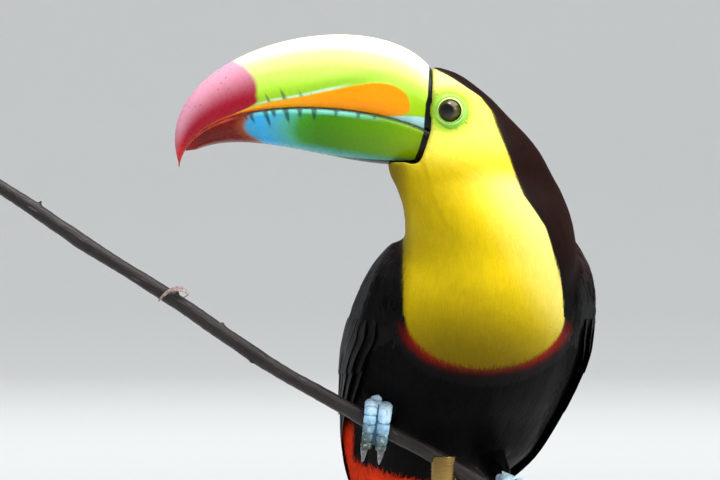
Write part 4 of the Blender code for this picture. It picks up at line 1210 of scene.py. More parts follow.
# %% Which way the plumage lies
# Each guide is a place x, y, z and a way x, y, z; those of the head are for its left side.
HEAD_GUIDES = (
    ((-27, -18, 421), (1.0, 0.05, 0.25)), ((-29, -22, 400), (1.0, 0.0, -0.12)),
    ((-36, -18, 383), (0.75, 0.0, -0.75)), ((-44, -10, 372), (0.22, 0.0, -1.0)),
    ((-10, -26, 390), (0.85, 0.0, -0.6)), ((-12, -12, 422), (1.0, 0.0, -0.45)),
    ((6, -24, 378), (0.5, 0.0, -0.9)), ((10, -16, 404), (0.8, 0.0, -0.8)),
    ((28, -12, 385), (0.35, 0.05, -1.0)),
)
BODY_GUIDES = (
    ((-46, -12, 352), (0.02, 0.0, -1.0)), ((-10, -42, 345), (0.12, 0.0, -1.0)),
    ((25, -38, 345), (0.3, 0.0, -1.0)), ((0, -52, 312), (0.02, 0.0, -1.0)),
    ((-36, -35, 315), (-0.12, 0.0, -1.0)), ((38, -32, 315), (0.12, 0.0, -1.0)),
    ((0, -40, 272), (0.0, 0.25, -1.0)), ((-55, -10, 285), (-0.1, 0.2, -1.0)),
    ((50, -10, 285), (0.0, 0.2, -1.0)), ((-20, -10, 232), (-0.1, 0.6, -0.9)),
    ((45, 30, 330), (-0.05, 0.2, -1.0)), ((-45, 30, 330), (0.05, 0.2, -1.0)),
    ((38, 20, 360), (0.15, 0.15, -1.0)), ((10, 60, 325), (-0.05, 0.25, -1.0)),
    ((-10, 70, 260), (-0.2, 0.36, -0.9)), ((-60, 40, 240), (-0.1, 0.36, -0.9)),
    ((40, 50, 240), (-0.4, 0.36, -0.9)), ((-40, 90, 180), TAIL_WAY), ((-70, 120, 90), TAIL_WAY),
)
GUIDE_SOFTNESS = 120.0  # mm2; more of it blends the guides over a wider way
guides = list(BODY_GUIDES)
for (x, y, z), (way_x, way_y, way_z) in HEAD_GUIDES:
    guides += [((x, y, z), (way_x, way_y, way_z)), ((x, 2 * HEAD_MIDDLE - y, z), (way_x, -way_y, way_z))]
guide_places = np.array([place for place, way in guides], float)
guide_ways = np.array([np.array(way) / np.linalg.norm(way) for place, way in guides])


def unit(vectors):
    """Each row at length 1."""
    return vectors / np.maximum(np.linalg.norm(vectors, axis=1, keepdims=True), 1e-9)


def lie(places, normals, unrest):
    """The way the plumage lies at each place, along the surface, with a slow wander of unrest radians."""
    mm = 1000 * places
    total = np.zeros_like(mm)
    for place, way in zip(guide_places, guide_ways):
        near = ((mm - place) ** 2).sum(1)
        total += way / (near[:, None] + GUIDE_SOFTNESS) ** 2
    total -= (total * normals).sum(1, keepdims=True) * normals
    total = unit(total)
    aside = np.cross(normals, total)
    wander = np.sin(mm[:, 0] * 0.21 + 2 * np.sin(mm[:, 2] * 0.13))
    wander = wander + np.sin(mm[:, 1] * 0.27 + mm[:, 2] * 0.17)
    return unit(total + aside * (unrest * 0.5 * wander)[:, None])


# %% Roots on the skin
pick(skin)
bpy.ops.object.mode_set(mode="EDIT")
bpy.ops.mesh.select_all(action="SELECT")
bpy.ops.uv.smart_project(angle_limit=math.radians(60), island_margin=0.002)
bpy.ops.object.mode_set(mode="OBJECT")
deselect()
skin.data.calc_loop_triangles()
count = len(skin.data.loop_triangles)
corners, corner_loops = np.empty(count * 3, dtype=int), np.empty(count * 3, dtype=int)
skin.data.loop_triangles.foreach_get("vertices", corners)
skin.data.loop_triangles.foreach_get("loops", corner_loops)
corners, corner_loops = corners.reshape(-1, 3), corner_loops.reshape(-1, 3)
unwrap = np.empty(len(skin.data.loops) * 2)
skin.data.uv_layers.active.data.foreach_get("uv", unwrap)
unwrap = unwrap.reshape(-1, 2)
skin_now, _ = mesh_arrays(skin.data)
sides = skin_now[corners[:, 1:]] - skin_now[corners[:, :1]]
areas = 0.5 * np.linalg.norm(np.cross(sides[:, 0], sides[:, 1]), axis=1)
print("skin area:", round(areas.sum() * 1e4), "cm2, unwrapped")


TRIES = 5  # random places for each root that is kept
CELL_PRIMES = np.array((73856093, 19349663, 83492791))  # they give each small cube of space its own key


def scatter(spacing, wanted):
    """Even roots on the skin where wanted(places, owner) says so: places, normals, UVs and coat depth."""
    number = int(areas.sum() / (spacing * MM) ** 2 * TRIES)
    faces = chance.choice(count, number, p=areas / areas.sum())
    weights = chance.dirichlet((1, 1, 1), number)
    places = (skin_now[corners[faces]] * weights[:, :, None]).sum(1)
    cells = np.floor(places / (spacing * MM)).astype(np.int64)
    keys = cells @ CELL_PRIMES
    _, first = np.unique(keys, return_index=True)
    faces, weights, places = faces[first], weights[first], places[first]
    owner = owner_number[corners[faces, 0]]
    keep = wanted(places, owner)
    faces, weights, places = faces[keep], weights[keep], places[keep]
    normals = unit((form_normals[corners[faces]] * weights[:, :, None]).sum(1))
    spots = (unwrap[corner_loops[faces]] * weights[:, :, None]).sum(1)
    deep = (depth[corners[faces]] * weights).sum(1)
    return places, normals, spots, deep


# %% Patterns of vane
def vane_pattern(along, across, width):
    """A small grid: share along and across of each corner, its width share, and the quads."""
    steps = np.linspace(0, 1, along + 1)
    cross = np.linspace(-1, 1, across + 1)
    t, s = (grid.ravel() for grid in np.meshgrid(steps, cross, indexing="ij"))
    quads = []
    for i in range(along):
        for j in range(across):
            corner = i * (across + 1) + j
            quads.append((corner, corner + across + 1, corner + across + 2, corner + 1))
    return t, s, width(t), np.array(quads)


def round_vane(t):
    """The width of a contour feather: full, with a round tip."""
    return np.clip(np.sin(np.pi * np.clip(0.12 + 0.84 * t, 0, 1) ** 1.25), 0.06, 1) ** 0.7


def loose_vane(t):
    """The width of a loose feather, which runs out to a fine tip."""
    return np.clip(0.5 + 1.1 * t, 0, 1) * np.clip(1.04 - t, 0.03, 1) ** 0.55


def laid(points, lift):
    """Points put on the coat's surface, lift metres above it or, where it is less than 0, under."""
    out, normals = np.empty_like(points), np.empty_like(points)
    for i, point in enumerate(points):
        place, normal, _, _ = form_tree.find_nearest(point)
        out[i], normals[i] = place, normal
    return out + normals * lift[:, None], normals


# %% Laying a coat
PATCH = 0.0015  # half the side of a vane's patch on the skin's unwrap
MOST_TRIANGLES = 190000  # in one piece


def quad_mesh(name, vertices, quads):
    """A new object from arrays of vertices and quads."""
    mesh = bpy.data.meshes.new(name)
    mesh.vertices.add(len(vertices))
    mesh.vertices.foreach_set("co", vertices.ravel())
    mesh.loops.add(quads.size)
    mesh.loops.foreach_set("vertex_index", quads.ravel())
    mesh.polygons.add(len(quads))
    mesh.polygons.foreach_set("loop_start", np.arange(len(quads)) * 4)
    mesh.update(calc_edges=True)
    obj = bpy.data.objects.new(name, mesh)
    bpy.context.collection.objects.link(obj)
    return obj


# %% Shafts over the surface
def shafts(roots, steps, length, unrest, turn, stand):
    """The shafts of many feathers: places and ways up at each step, and the colours by root and tip."""
    places, normals, _, deep = roots
    n = len(places)
    heading = lie(places, normals, unrest)
    aside = np.cross(normals, heading)
    heading = unit(heading + aside * chance.normal(0, turn, n)[:, None])
    middles, ups = [], []
    for step in steps:
        level = np.clip(step / 0.32, 0, 1)  # a third of the way on, the vane is up at the coat's surface
        rise = deep * (0.94 * level**0.8 * (2 - level**0.8) - 1.0)
        rise = rise + stand * MM * step**2 * chance.uniform(0.2, 1, n)
        middle, up = laid(places + heading * (length * step)[:, None], rise)
        middles.append(middle)
        ups.append(up)
    colours = []
    for share in (0.4, 0.88):
        spots, _ = laid(places + heading * (length * share)[:, None], np.zeros(n))
        colours.append(plumage_colour(spots))
    return np.array(middles), np.array(ups), *colours


# %% One coat of feathers
def vane_pieces(name, material, slot, vanes, quads, order):
    """Makes pieces of vanes, given as corners, colours and map places, each small enough to keep whole."""
    per_piece = MOST_TRIANGLES // (2 * len(quads))
    for number, chosen in enumerate(np.array_split(order, max(1, math.ceil(len(order) / per_piece)))):
        corners, colours, uv = (values[chosen] for values in vanes)
        first = np.arange(len(chosen)) * corners.shape[1]
        all_quads = (quads[None] + first[:, None, None]).reshape(-1, 4)
        piece = quad_mesh(f"{name}_{number + 1}", corners.reshape(-1, 3), all_quads)
        paint_points(piece, np.clip(colours.reshape(-1, 3), 0, 1))
        layer = piece.data.uv_layers.new(name="OFBake")
        layer.data.foreach_set("uv", uv.reshape(-1, 2)[all_quads.ravel()].ravel())
        finished(piece, material, slot)


def lay_coat(name, material, slot, roots, pattern, length, width, *, turn, camber, stand,
             unrest=0.1, fray=0.0, dim=0.12, root_painted_shade=0.8):
    """Feathers of one kind; length and width are numbers, or one for each root. unrest and turn move the
    way they point, camber curves them across, stand lifts their tips, in mm, and fray frays their edges.
    dim is how far their tones differ, and the last one is the painted shade at their roots, where other
    feathers lie over them."""
    places, _, spots, _ = roots
    t, s, share, quads = pattern
    n = len(places)
    length = np.broadcast_to(length, n) * chance.uniform(0.82, 1.15, n) * MM
    width = np.broadcast_to(width, n) * chance.uniform(0.85, 1.15, n) * MM
    steps = np.unique(t)
    middles, ups, near_root, near_tip = shafts(roots, steps, length, unrest, turn, stand)
    row = np.searchsorted(steps, t)
    centre, up = middles[row].transpose(1, 0, 2), ups[row].transpose(1, 0, 2)
    ahead = np.gradient(middles, axis=0)[row].transpose(1, 0, 2)
    cross = np.cross(up, ahead)
    cross /= np.maximum(np.linalg.norm(cross, axis=2, keepdims=True), 1e-9)
    half = 0.5 * width[:, None] * share * s
    half = half * (1 + fray * chance.uniform(-1, 1, half.shape) * t)
    drop = -camber * width[:, None] * (s**2) * share
    corners = centre + cross * half[:, :, None] + up * drop[:, :, None]
    blend = smooth_step(0.35, 0.8, t)[None, :, None]
    colours = near_root[:, None, :] * (1 - blend) + near_tip[:, None, :] * blend
    colours = colours * chance.uniform(1 - dim, 1 + 0.4 * dim, n)[:, None, None]
    # Painted shade: each root, under the feathers that lie over it, is darker.
    colours = colours * (root_painted_shade + (1 - root_painted_shade) * np.clip(t * 1.6, 0, 1))[None, :, None]
    uv = spots[:, None, :] + PATCH * np.stack((s, 2 * t - 1), axis=1)[None, :, :]
    vane_pieces(name, material, slot, (corners, colours, uv), quads, np.argsort(places[:, 2]))


# %% Where each kind grows
BARE_RADIUS = 8.0  # of the naked skin round the eye
FACE_FROM = 0.366  # metres up; the head is above this, and the neck below
VENT_FROM, VENT_TO = -38, 34  # along the tail, from its root


def owner_is(owner, *nodes):
    """Whether each place belongs to one of the nodes."""
    return np.isin(owner, [FLESH.index(node) for node in nodes])


def from_eye(places):
    """How far from the nearer eye's middle each place lies, in mm, seen from the side."""
    near = [np.hypot(*(1000 * (places - centre)[:, [0, 2]].T)) for centre in (EYE_CENTRE, SOCKET_CENTRE)]
    below_head = places[:, 2] < 0.37
    return np.minimum(*near) + np.where(below_head, 99, 0)


def margin(places):
    """How far the fine feathers of the yellow run on into the black: under the bib, over its red line."""
    return 5 - 3.8 * smooth_step(300, 312, 1000 * places[:, 2])


def on_face(places, owner):
    """The yellow of the head, neck and breast, with a margin into the black."""
    bare = (places[:, 2] > FACE_FROM) & (from_eye(places) < BARE_RADIUS)
    return owner_is(owner, "head", "neck", "trunk") & (yellow_reach(places) > -margin(places)) & ~bare


def on_nape(places, owner):
    """The crown, the nape and the sides of the neck behind the yellow."""
    return owner_is(owner, "neck", "head") & (yellow_reach(places) <= -margin(places))


def tail_share(places):
    """How far along the tail each place lies, in mm from its root."""
    return (1000 * places - TAIL_ROOT) @ TAIL_WAY


def on_body(places, owner):
    """The black of the breast, flanks and back."""
    plain = owner_is(owner, "trunk", "thigh_left", "thigh_right")
    plain = plain & (yellow_reach(places) <= -margin(places))
    return plain & (tail_share(places) < VENT_FROM)


def on_vent(places, owner):
    """The loose feathers under and over the tail's root, red and white."""
    loose = owner_is(owner, "trunk", "tail", "thigh_left")
    loose = loose & (yellow_reach(places) <= -margin(places))
    return loose & (tail_share(places) >= VENT_FROM) & (tail_share(places) < VENT_TO)


# %% Finishes of the plumage
# Loose barbs scatter the light, so the bib and nape are soft, and the wing's shoulder is glossier and blue.
fine_yellow = plumage_material("silky_bib_feathers", 0.55, 0.02, 0.05, gloss=0.055)
fine_black = plumage_material("velvet_nape_feathers", 0.6, 0.0, 0.25, gloss=0.045)
body_black = plumage_material("black_body_feathers", 0.5, 0.0, 0.25, gloss=0.03)
glossy_black = plumage_material("glossy_wing_coverts", 0.4, 0.01, 0.25, gloss=0.07)
glossy_black.node_tree.nodes["Principled BSDF"].inputs["Sheen Tint"].default_value = linear("9AA6E0")

# %% Face, bib and nape
face = scatter(0.77, on_face)
height = 1000 * face[0][:, 2]
off_eye = np.clip((from_eye(face[0]) - 7) / 16, 0, 1)
off_bill = np.clip((face[0][:, 0] * 1000 + 36) / 22, 0, 1)
off_bill = np.maximum(off_bill, smooth_step(390, 380, height))
# The feathers are shortest by the eye and the bill, and longest on the breast.
face_length = np.where(face[0][:, 2] > FACE_FROM, 3.0 + 3.2 * np.minimum(off_eye, off_bill), 6.2)
face_length += 1.8 * smooth_step(366, 345, height)
lay_coat("coat_face_and_bib", fine_yellow, "yellow_plumage", face, vane_pattern(3, 2, loose_vane),
         face_length, 1.15, turn=0.04, stand=0.03, camber=0.06, root_painted_shade=0.95, dim=0.13)
nape = scatter(1.1, on_nape)
nape_length = 8.0 - 3.5 * smooth_step(370, 420, 1000 * nape[0][:, 2])
lay_coat("coat_nape", fine_black, "black_plumage", nape, vane_pattern(3, 2, loose_vane), nape_length, 1.4,
         turn=0.06, stand=0.06, camber=0.08)

# %% Body and vent
body = scatter(2.5, on_body)
lay_coat("coat_body", body_black, "black_plumage", body, vane_pattern(5, 4, round_vane), 11.0, 5.0,
         turn=0.07, stand=0.1, camber=0.05, fray=0.08)
vent = scatter(2.0, on_vent)
lay_coat("coat_vent", body_black, "black_plumage", vent, vane_pattern(5, 2, loose_vane), 13.0, 2.6,
         turn=0.12, stand=0.3, camber=0.08)

# %% [markdown]
# ## Wings and tail
# A folded wing is a fan that has been shut. The long primaries lie lowest along its front edge, the
# secondaries lie over them like a hand of cards, and rows of coverts roof the roots of both. Each feather
# follows a path over the wing, given as shares of the way down from the bend and of the way back from the
# front edge. Its shaft stands up a little in the middle, and its vane falls away on both sides to follow
# the curve of the flank.

# %% Places on a folded wing
# The flank under the wing: height, centre x and y, half width and half depth.
FLANK = np.array((
    (138, -46.5, 95.5, 27, 10), (160, -41.2, 87, 26.5, 13.8), (185, -34.5, 77, 21, 14.5),
    (198, -30.5, 69, 31, 21), (211, -26, 60, 39.5, 28), (224, -20, 51, 47.4, 35),
    (240, -17.2, 41, 51.5, 41), (255, -13, 30, 55, 47), (274, -8.6, 20, 58.5, 53),
    (292, -5, 13, 58.4, 56), (310, -1.8, 10, 55.5, 54), (325, 0.4, 12, 50.6, 47), (336, 3, 16, 46, 37),
))
FLANK_TURN = 9  # degrees; the breast faces a little to the side
# Height, and how far round from the breast the front and back edges lie, in degrees.
WING_EDGES = np.array((
    (142, 146, 158), (150, 136, 166), (168, 122, 172), (192, 108, 174), (215, 92, 172), (240, 78, 168),
    (262, 66, 164), (285, 57, 160), (306, 56, 152), (322, 66, 138), (330, 82, 118), (335, 90, 106),
))
WING_TOP, WING_FOOT = 333.0, 143.0


def on_wing(side, down, back):
    """The place on the wing's surface at shares down and back, and the way out from it."""
    z = WING_TOP + (WING_FOOT - WING_TOP) * down
    x, y, half_width, half_depth = (np.interp(z, FLANK[:, 0], column) for column in FLANK.T[1:])
    front, rear = (np.interp(z, WING_EDGES[:, 0], column) for column in WING_EDGES.T[1:])
    angle = math.radians(side * (front + (rear - front) * back) + FLANK_TURN)
    out = Vector((math.sin(angle) / half_width, -math.cos(angle) / half_depth, 0)).normalized()
    inner = Vector((x + half_width * math.sin(angle), y - half_depth * math.cos(angle), z)) * MM
    hit = form_tree.ray_cast(inner + out * 30 * MM, -out, 50 * MM)
    return np.array(hit[0] or inner), np.array(out)


skin_tree = BVHTree.FromObject(skin, bpy.context.evaluated_depsgraph_get())


def skin_spot(place):
    """Where the skin nearest to place lies on its unwrap."""
    _, _, face, _ = skin_tree.find_nearest(Vector(place))
    return unwrap[skin.data.polygons[face].loop_start]


# %% One large feather
CROSS = np.array((-1, -0.7, -0.35, -0.07, 0, 0.07, 0.35, 0.7, 1.0))  # shares across the vane
SHAFT = np.array((0, 0, 0, 0, 1, 0, 0, 0, 0))
SHAFT_HEIGHT = 0.16
SECTIONS = 20
BLUNT = 0.1  # the share of the length that the rounded tip takes
VANE_RADIUS = 85.0  # the vane bends down from its shaft on this radius


def blade(t):
    """Width share along a flight feather: narrow at the quill and rounded at the tip."""
    tip = np.clip((t - (1 - BLUNT)) / BLUNT, 0, 1)
    return (0.45 + 0.55 * smooth_step(0.0, 0.3, t)) * np.sqrt(np.clip(1 - 0.98 * tip**2, 0.0, 1))


def large_feather(path, normals, width, lift, lean=0.0):
    """Corners of a vane along a path of places, and where each lies on it; lift is over the surface at
    both ends, and lean moves the shaft off the vane's middle."""
    t = np.linspace(0, 1, SECTIONS + 1)
    given = np.linspace(0, 1, len(path))
    path, normals = np.array(path), np.array(normals)
    middle = np.stack([np.interp(t, given, path[:, k]) for k in range(3)], axis=1)
    for _ in range(3):
        middle[1:-1] = 0.25 * middle[:-2] + 0.5 * middle[1:-1] + 0.25 * middle[2:]
    up = unit(np.stack([np.interp(t, given, normals[:, k]) for k in range(3)], axis=1))
    ahead = unit(np.gradient(middle, axis=0))
    cross = unit(np.cross(up, ahead))
    half = 0.5 * width * blade(t)[:, None] * (CROSS + lean * (1 - CROSS**2))[None, :]
    height = np.interp(t, (0, 1), lift)[:, None] - half**2 / (2 * VANE_RADIUS)
    height = height + SHAFT_HEIGHT * SHAFT * (1 - t[:, None] ** 3)
    corners = middle[:, None, :] + cross[:, None, :] * half[:, :, None] * MM
    corners = corners + up[:, None, :] * height[:, :, None] * MM
    own = np.full(half.shape, chance.random())  # each feather has a number of its own
    barbs = np.stack((np.broadcast_to(t[:, None], half.shape), half, own), axis=2)
    return corners.reshape(-1, 3), barbs.reshape(-1, 3)


def feather_piece(name, feathers, material):
    """Joins large feathers into one piece with its colours, barbs and unwrap patches."""
    rows = len(CROSS)
    quads = []
    for i in range(SECTIONS):
        for j in range(rows - 1):
            corner = i * rows + j
            quads.append((corner, corner + rows, corner + rows + 1, corner + 1))
    quads = np.array(quads)
    each = rows * (SECTIONS + 1)
    all_quads = (quads[None] + (np.arange(len(feathers)) * each)[:, None, None]).reshape(-1, 4)
    corners = np.concatenate([corner for corner, _ in feathers])
    piece = quad_mesh(name, corners, all_quads)
    colours = PLUMAGE["black"] * chance.uniform(0.85, 1.15, len(feathers))[:, None]
    paint_points(piece, np.clip(np.repeat(colours, each, axis=0), 0, 1))
    barbs = piece.data.color_attributes.new("barbs", "FLOAT_COLOR", "POINT")
    values = np.hstack([np.concatenate([barb for _, barb in feathers]), np.ones((len(corners), 1))])
    barbs.data.foreach_set("color", values.ravel())
    spots = np.array([skin_spot(corner[rows * 3]) for corner, _ in feathers])
    shares = np.meshgrid(np.linspace(-1, 1, SECTIONS + 1), np.linspace(-1, 1, rows), indexing="ij")
    local = np.stack(shares, axis=-1).reshape(-1, 2)
    uv = spots[:, None, :] + PATCH * local[None, :, ::-1]
    layer = piece.data.uv_layers.new(name="OFBake")
    layer.data.foreach_set("uv", uv.reshape(-1, 2)[all_quads.ravel()].ravel())
    finished(piece, material, "black_plumage")


# %% Finish of the flight feathers
BARB_SPACING = 0.8  # real barbs lie twice as close, which is too fine to show
FEATHER_LENGTH = 90.0  # of a flight feather; it turns its share of the way to mm
# Barbs that are hooked together make a smooth vane, so it shines more than down does, a little blue.
flight_black, tree, shader = new_material(
    "black_flight_feathers", Roughness=0.4, Specular_IOR_Level=0.09,
    Sheen_Weight=0.015, Sheen_Roughness=0.4, Sheen_Tint=linear("8FA8D8"),
)
base = add_node(tree, "Attribute", attribute_name="plumage").outputs["Color"]
vane = add_node(tree, "Attribute", attribute_name="barbs").outputs["Vector"]
vane = add_node(tree, "SeparateXYZ", {0: vane})
across = add_node(tree, "Math", {0: vane.outputs[1]}, operation="ABSOLUTE").outputs[0]
along = add_node(tree, "Math", {0: vane.outputs[0], 1: FEATHER_LENGTH}, operation="MULTIPLY").outputs[0]
slanted = add_node(tree, "Math", {0: along, 1: across}, operation="SUBTRACT").outputs[0]
phase = add_node(tree, "Math", {0: slanted, 1: math.tau / BARB_SPACING}, operation="MULTIPLY").outputs[0]
wave = add_node(tree, "Math", {0: phase}, operation="SINE").outputs[0]
ribs = add_node(tree, "Math", {0: wave, 1: 0.5, 2: 0.5}, operation="MULTIPLY_ADD").outputs[0]
colour = painted(tree, base, ("020203", ribs, 0.2), ("1C1A1C", (across, 0.8, 0.3), 0.5))
surfaced(tree, shader, colour, ribs, 0.025)


# %% Both wings
BEND_FROM, UNDER_FROM = 0.287, 0.15  # metres up
FRONT = {"left": 0.26, "right": 0.38}  # red feathers of the flank lie over the right wing's front edge
PRIMARY_TIPS = {"left": 0.38, "right": 0.52}


def wing_feather(side, start, end, width, lift, bow=0.0):
    """A feather of the wing from start to end, each given as shares down and back."""
    path, normals = [], []
    for share in np.linspace(0, 1, 9):
        down = start[0] + (end[0] - start[0]) * share
        back = start[1] + (end[1] - start[1]) * share + bow * math.sin(math.pi * share)
        place, out = on_wing(side, down, back)
        path.append(place)
        normals.append(out)
    return large_feather(path, normals, width, lift, lean=0.12 * side)


for name, side in (("left", 1), ("right", -1)):
    primaries, secondaries, coverts = [], [], []
    for k in range(8):  # from the front edge inwards, each a little shorter than the one before
        start, end = (0.36, 0.16 + 0.03 * k), (1.0 - 0.032 * k, PRIMARY_TIPS[name] + 0.045 * k)
        primaries.append(wing_feather(side, start, end, 11.5, (0.0, 0.15 + 0.07 * k), bow=-0.03))
    for k in range(10):
        back = FRONT[name] + (0.98 - FRONT[name]) * k / 10
        start, end = (0.34 + 0.008 * k, 0.14 + 0.074 * k), (0.71 - 0.006 * k, back)
        secondaries.append(wing_feather(side, start, end, 15.0, (0.1, 0.5 + 0.08 * k), bow=-0.02))
    for k in range(3):  # the innermost ones, over the back
        start, end = (0.27, 0.74 + 0.08 * k), (0.64 - 0.04 * k, 0.82 + 0.06 * k)
        secondaries.append(wing_feather(side, start, end, 18.0, (0.3, 1.2 + 0.1 * k)))
    for first, last, number, width, rise in ((0.27, 0.45, 14, 11.5, 0.95), (0.2, 0.335, 15, 10.5, 1.15)):
        for k in range(number):  # greater coverts, then the shorter median coverts over them
            back = 0.10 + 0.88 * k / (number - 1)
            start, end = (first, back), (last + 0.015 * math.sin(3 * back), back + 0.015)
            coverts.append(wing_feather(side, start, end, width, (0.1, rise + 0.02 * (k % 2))))
    feather_piece(f"coat_wing_{name}", primaries + secondaries + coverts, flight_black)


# %% Small feathers of the wings
def on_wing_bend(places, owner):
    """The wing's shoulder, above the coverts."""
    return owner_is(owner, "wing_left", "wing_right") & (places[:, 2] > BEND_FROM)


def on_wing_under(places, owner):
    """The wing under its flight feathers."""
    lower = (places[:, 2] <= BEND_FROM) & (places[:, 2] > UNDER_FROM)
    return owner_is(owner, "wing_left", "wing_right") & lower


bend = scatter(2.7, on_wing_bend)
lay_coat("coat_wing_bend", glossy_black, "black_plumage", bend, vane_pattern(5, 4, round_vane), 9.0, 5.6,
         turn=0.04, stand=0.1, camber=0.05, fray=0.05, unrest=0.04)
under = scatter(2.6, on_wing_under)
lay_coat("coat_wing_under", body_black, "black_plumage", under, vane_pattern(4, 2, loose_vane), 11.0, 3.6,
         turn=0.06, stand=0.5, camber=0.05, unrest=0.04)


def on_flank(places, _):
    """The loose feathers of the right flank, some of them red, whichever solid they grow on."""
    x, y, z = (1000 * places).T
    return (x < -61) & (y < 70) & (z < 242) & (z > 180)


flank = scatter(1.8, on_flank)
lay_coat("coat_flank", body_black, "black_plumage", flank, vane_pattern(5, 2, loose_vane), 13.0, 2.2,
         turn=0.06, unrest=0.05, stand=1.8, camber=0.08)

# %% Tail
TAIL_ACROSS = np.cross((0, 1, 0), TAIL_WAY)
TAIL_ACROSS = TAIL_ACROSS / np.linalg.norm(TAIL_ACROSS)
TAIL_BACK = np.cross(TAIL_ACROSS, TAIL_WAY)
TAIL_BACK = TAIL_BACK if TAIL_BACK[1] > 0 else -TAIL_BACK
TAIL_LENGTH = 161.0
TAIL_FROM = 26  # where its feathers leave the rump


def tail_feather(rank, face, lift):
    """One rectrix: rank from -4.5 to 4.5 across the tail, on its back (1) or vent (-1) face."""
    path, normals = [], []
    end = TAIL_LENGTH - 1.1 * rank * rank / 4.5
    for distance in np.linspace(TAIL_FROM, end, 9):
        spread = 1.7 + 2.7 * (distance - TAIL_FROM) / 134
        point = (TAIL_ROOT + TAIL_WAY * distance + TAIL_ACROSS * rank * spread + TAIL_BACK * face * 14) * MM
        inner = TAIL_ROOT + TAIL_WAY * min(distance, 157) + TAIL_ACROSS * rank * spread * 0.96
        hit = form_tree.ray_cast(Vector(point), Vector(-TAIL_BACK * face), 30 * MM)
        place = np.array(hit[0]) if hit[0] else inner * MM
        path.append(place)
        normals.append(TAIL_BACK * face)
    return large_feather(path, normals, 13.0, lift)


rectrices = []
for face in (1, -1):
    for rank in np.arange(-4.5, 5, 1.0):
        on_top = 5 - abs(rank) if face == 1 else abs(rank)
        rectrices.append(tail_feather(rank, face, (0.2 + 0.12 * on_top, 0.2 + 0.12 * on_top)))
feather_piece("coat_tail", rectrices, flight_black)

# %% [markdown]
# ## The feet
# A toucan's feet are pale blue, with broad overlapping scutes down the front of the shank and the top of
# each toe. One grid for each toe is rolled round its upper side, and a saw wave along it steps each scute
# over the next. Its edges tuck into the skin.

# %% Toe and shank paths
FOOT_X = {"right": -55.0, "left": 15.5}
FOOT_LEAN = math.radians(8)
TOE_WRAP, SHANK_WRAP = 1.45, 1.5  # radians to each side that the scutes go round
SHANK_SCUTES = {"right": 2, "left": 4}
# Each joint of a toe: how far ahead of the perch's middle, how far over it, and the toe's radius.
FRONT_TOE = (
    (0, 9.5, 3.7), (4.8, 8.4, 3.6), (8.1, 4.6, 3.4), (8.6, -0.8, 3.2), (7.7, -6.8, 3.0), (6.2, -12.5, 2.6),
)
REAR_TOE = (
    (0, 9.5, 3.7), (-4.8, 8.2, 3.4), (-7.9, 4.2, 3.2), (-8.2, -1, 3.0), (-7.2, -6.5, 2.8), (-5.4, -11, 2.4),
)
TOE_SPREAD = 3.7
ANKLE = {"right": (-54.4, 1.2, 255.0), "left": (10.5, 11.0, 212.0)}
# The perch's middle line: x and z.
PERCH_LINE = np.array(((-80, 253.9), (-55, 239.8), (-29, 226.2), (-4, 211.7), (17, 198.5), (33, 187.5)))
UP = np.array((math.sin(FOOT_LEAN), 0, math.cos(FOOT_LEAN)))
ASIDE = np.array((math.cos(FOOT_LEAN), 0, -math.sin(FOOT_LEAN)))
FOOT_LIGHT_AND_SHADE = ((-16, "2A321E"), (-10, "3E5048"), (-4, "5E8698"), (3, "9CCCF0"), (11, "CCEAFE"))  # by height: lighter on top as painted light, darker under the perch as painted shade
light_and_shade_heights = [height for height, _ in FOOT_LIGHT_AND_SHADE]
light_and_shade_colours = np.array([linear(code)[:3] for _, code in FOOT_LIGHT_AND_SHADE])


def foot_light_and_shade(place):
    """Pale blue, lighter on top as painted light, and darker grey-green under the perch as painted shade."""
    height = place[2] - np.interp(place[0], *PERCH_LINE.T)
    return np.array([np.interp(height, light_and_shade_heights, light_and_shade_colours[:, k]) for k in range(3)])


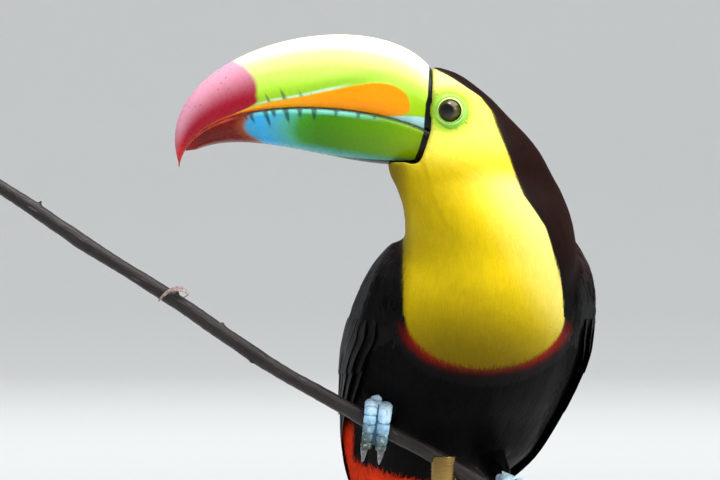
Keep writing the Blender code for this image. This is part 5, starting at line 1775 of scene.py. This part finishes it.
def scute_strip(path, outward, wrap, scutes, proud=0.6, first=1.0):
    """Scutes round one side of a path of x, y, z and radius; first over 1 makes the first one long."""
    path, tones = np.array(path, float), []

    def place(u, v):
        """The place of one corner of the strip; its colour, with painted light and shade, is kept in tones.
        """
        here = along_strip(path, u)
        ahead = along_strip(path, min(u + 0.02, 1.0)) - along_strip(path, max(u - 0.02, 0.0))
        ahead = ahead[:3] / np.linalg.norm(ahead[:3])
        out = outward(here[:3])
        out = out - (out @ ahead) * ahead
        out = out / np.linalg.norm(out)
        turn = (2 * v - 1) * wrap
        bend = 0.22 * abs(2 * v - 1) ** 2  # each scute's edge is curved, with its middle furthest on
        saw = (u**first * scutes + bend) % 1.0
        crest = 0.3 + 0.7 * math.sin(math.pi * (0.15 + 0.6 * saw))
        crest *= 1 - float(smooth_step(0.87, 1.0, saw))
        edge = 1 - abs(2 * v - 1) ** 6
        ends = min(u / 0.04, (1 - u) / 0.04, 1.0)
        radius = here[3] - 0.1 + proud * crest * edge - 0.8 * (1 - edge) - 0.8 * (1 - ends)
        # Painted shade: the grooves between scutes are darkened, and the strip darkens towards its sides, so
        # each scute is lightest in its middle.
        painted_groove_shade = float(smooth_step(0.9, 0.98, saw) + smooth_step(0.07, 0.0, saw))
        point = here[:3] + (out * math.cos(turn) + np.cross(ahead, out) * math.sin(turn)) * radius
        tones.append(foot_light_and_shade(point) * (1 - 0.75 * min(painted_groove_shade, 1.0)) * (0.75 + 0.25 * edge))
        return Vector(point) * MM

    strip = rolled_grid("scutes", 12 * scutes, 16, place, closed=False)
    paint_points(strip, np.clip(tones, 0, 1))
    return strip


# Scutes are plates of horn over skin: smooth, so each one has its own small shine.
foot_skin, tree, shader = new_material("scaled_foot_skin", Roughness=0.22)
base = add_node(tree, "Attribute", attribute_name="plumage").outputs["Color"]
place = add_node(tree, "TexCoord").outputs["Object"]
noise = add_node(tree, "TexNoise", {"Vector": place, "Scale": 420.0, "Detail": 4.0}).outputs[0]
colour = painted(tree, base, ("D4E8F6", (noise, 0.5, 0.75), 0.5), ("33505E", (noise, 0.5, 0.3), 0.4))
surfaced(tree, shader, colour, noise, 0.15)

# %% Both feet
for side in ("right", "left"):
    middle = np.array((FOOT_X[side], 0, np.interp(FOOT_X[side], *PERCH_LINE.T)))
    sole, ankle = middle + UP * 9.5, np.array(ANKLE[side])
    strips = []

    def off_perch(here):
        """Out from the perch's middle line."""
        return (here - middle) * (0, 1, 1)

    for rows in (FRONT_TOE, REAR_TOE):
        for shift in (-TOE_SPREAD, TOE_SPREAD):
            path = []
            for ahead, height, radius in rows:
                centre = middle + UP * height + ASIDE * shift
                path.append((centre[0], centre[1] - ahead, centre[2], radius))
            # The first joint of the outer front toe is one smooth dome.
            knuckled = side == "right" and rows is FRONT_TOE and shift > 0
            form = {"scutes": 4, "proud": 1.0, "first": 2.2} if knuckled else {"scutes": 7, "proud": 0.75}
            strips.append(scute_strip(path, off_perch, TOE_WRAP, **form))
    shank = [(*(sole + (ankle - sole) * share), 4.3 - 0.9 * share) for share in (-0.2, 0.2, 0.6, 1.0)]
    for facing in (-1.0, 1.0):
        forward = np.array((0.0, facing, 0.0))
        strips.append(scute_strip(shank, lambda here: forward, SHANK_WRAP, SHANK_SCUTES[side]))
    deselect()
    for strip in strips:
        strip.select_set(True)
    bpy.context.view_layer.objects.active = strips[0]
    bpy.ops.object.join()
    scutes = bpy.context.object
    scutes.name = "foot_scutes_" + side
    finished(scutes, foot_skin, "blue_foot")
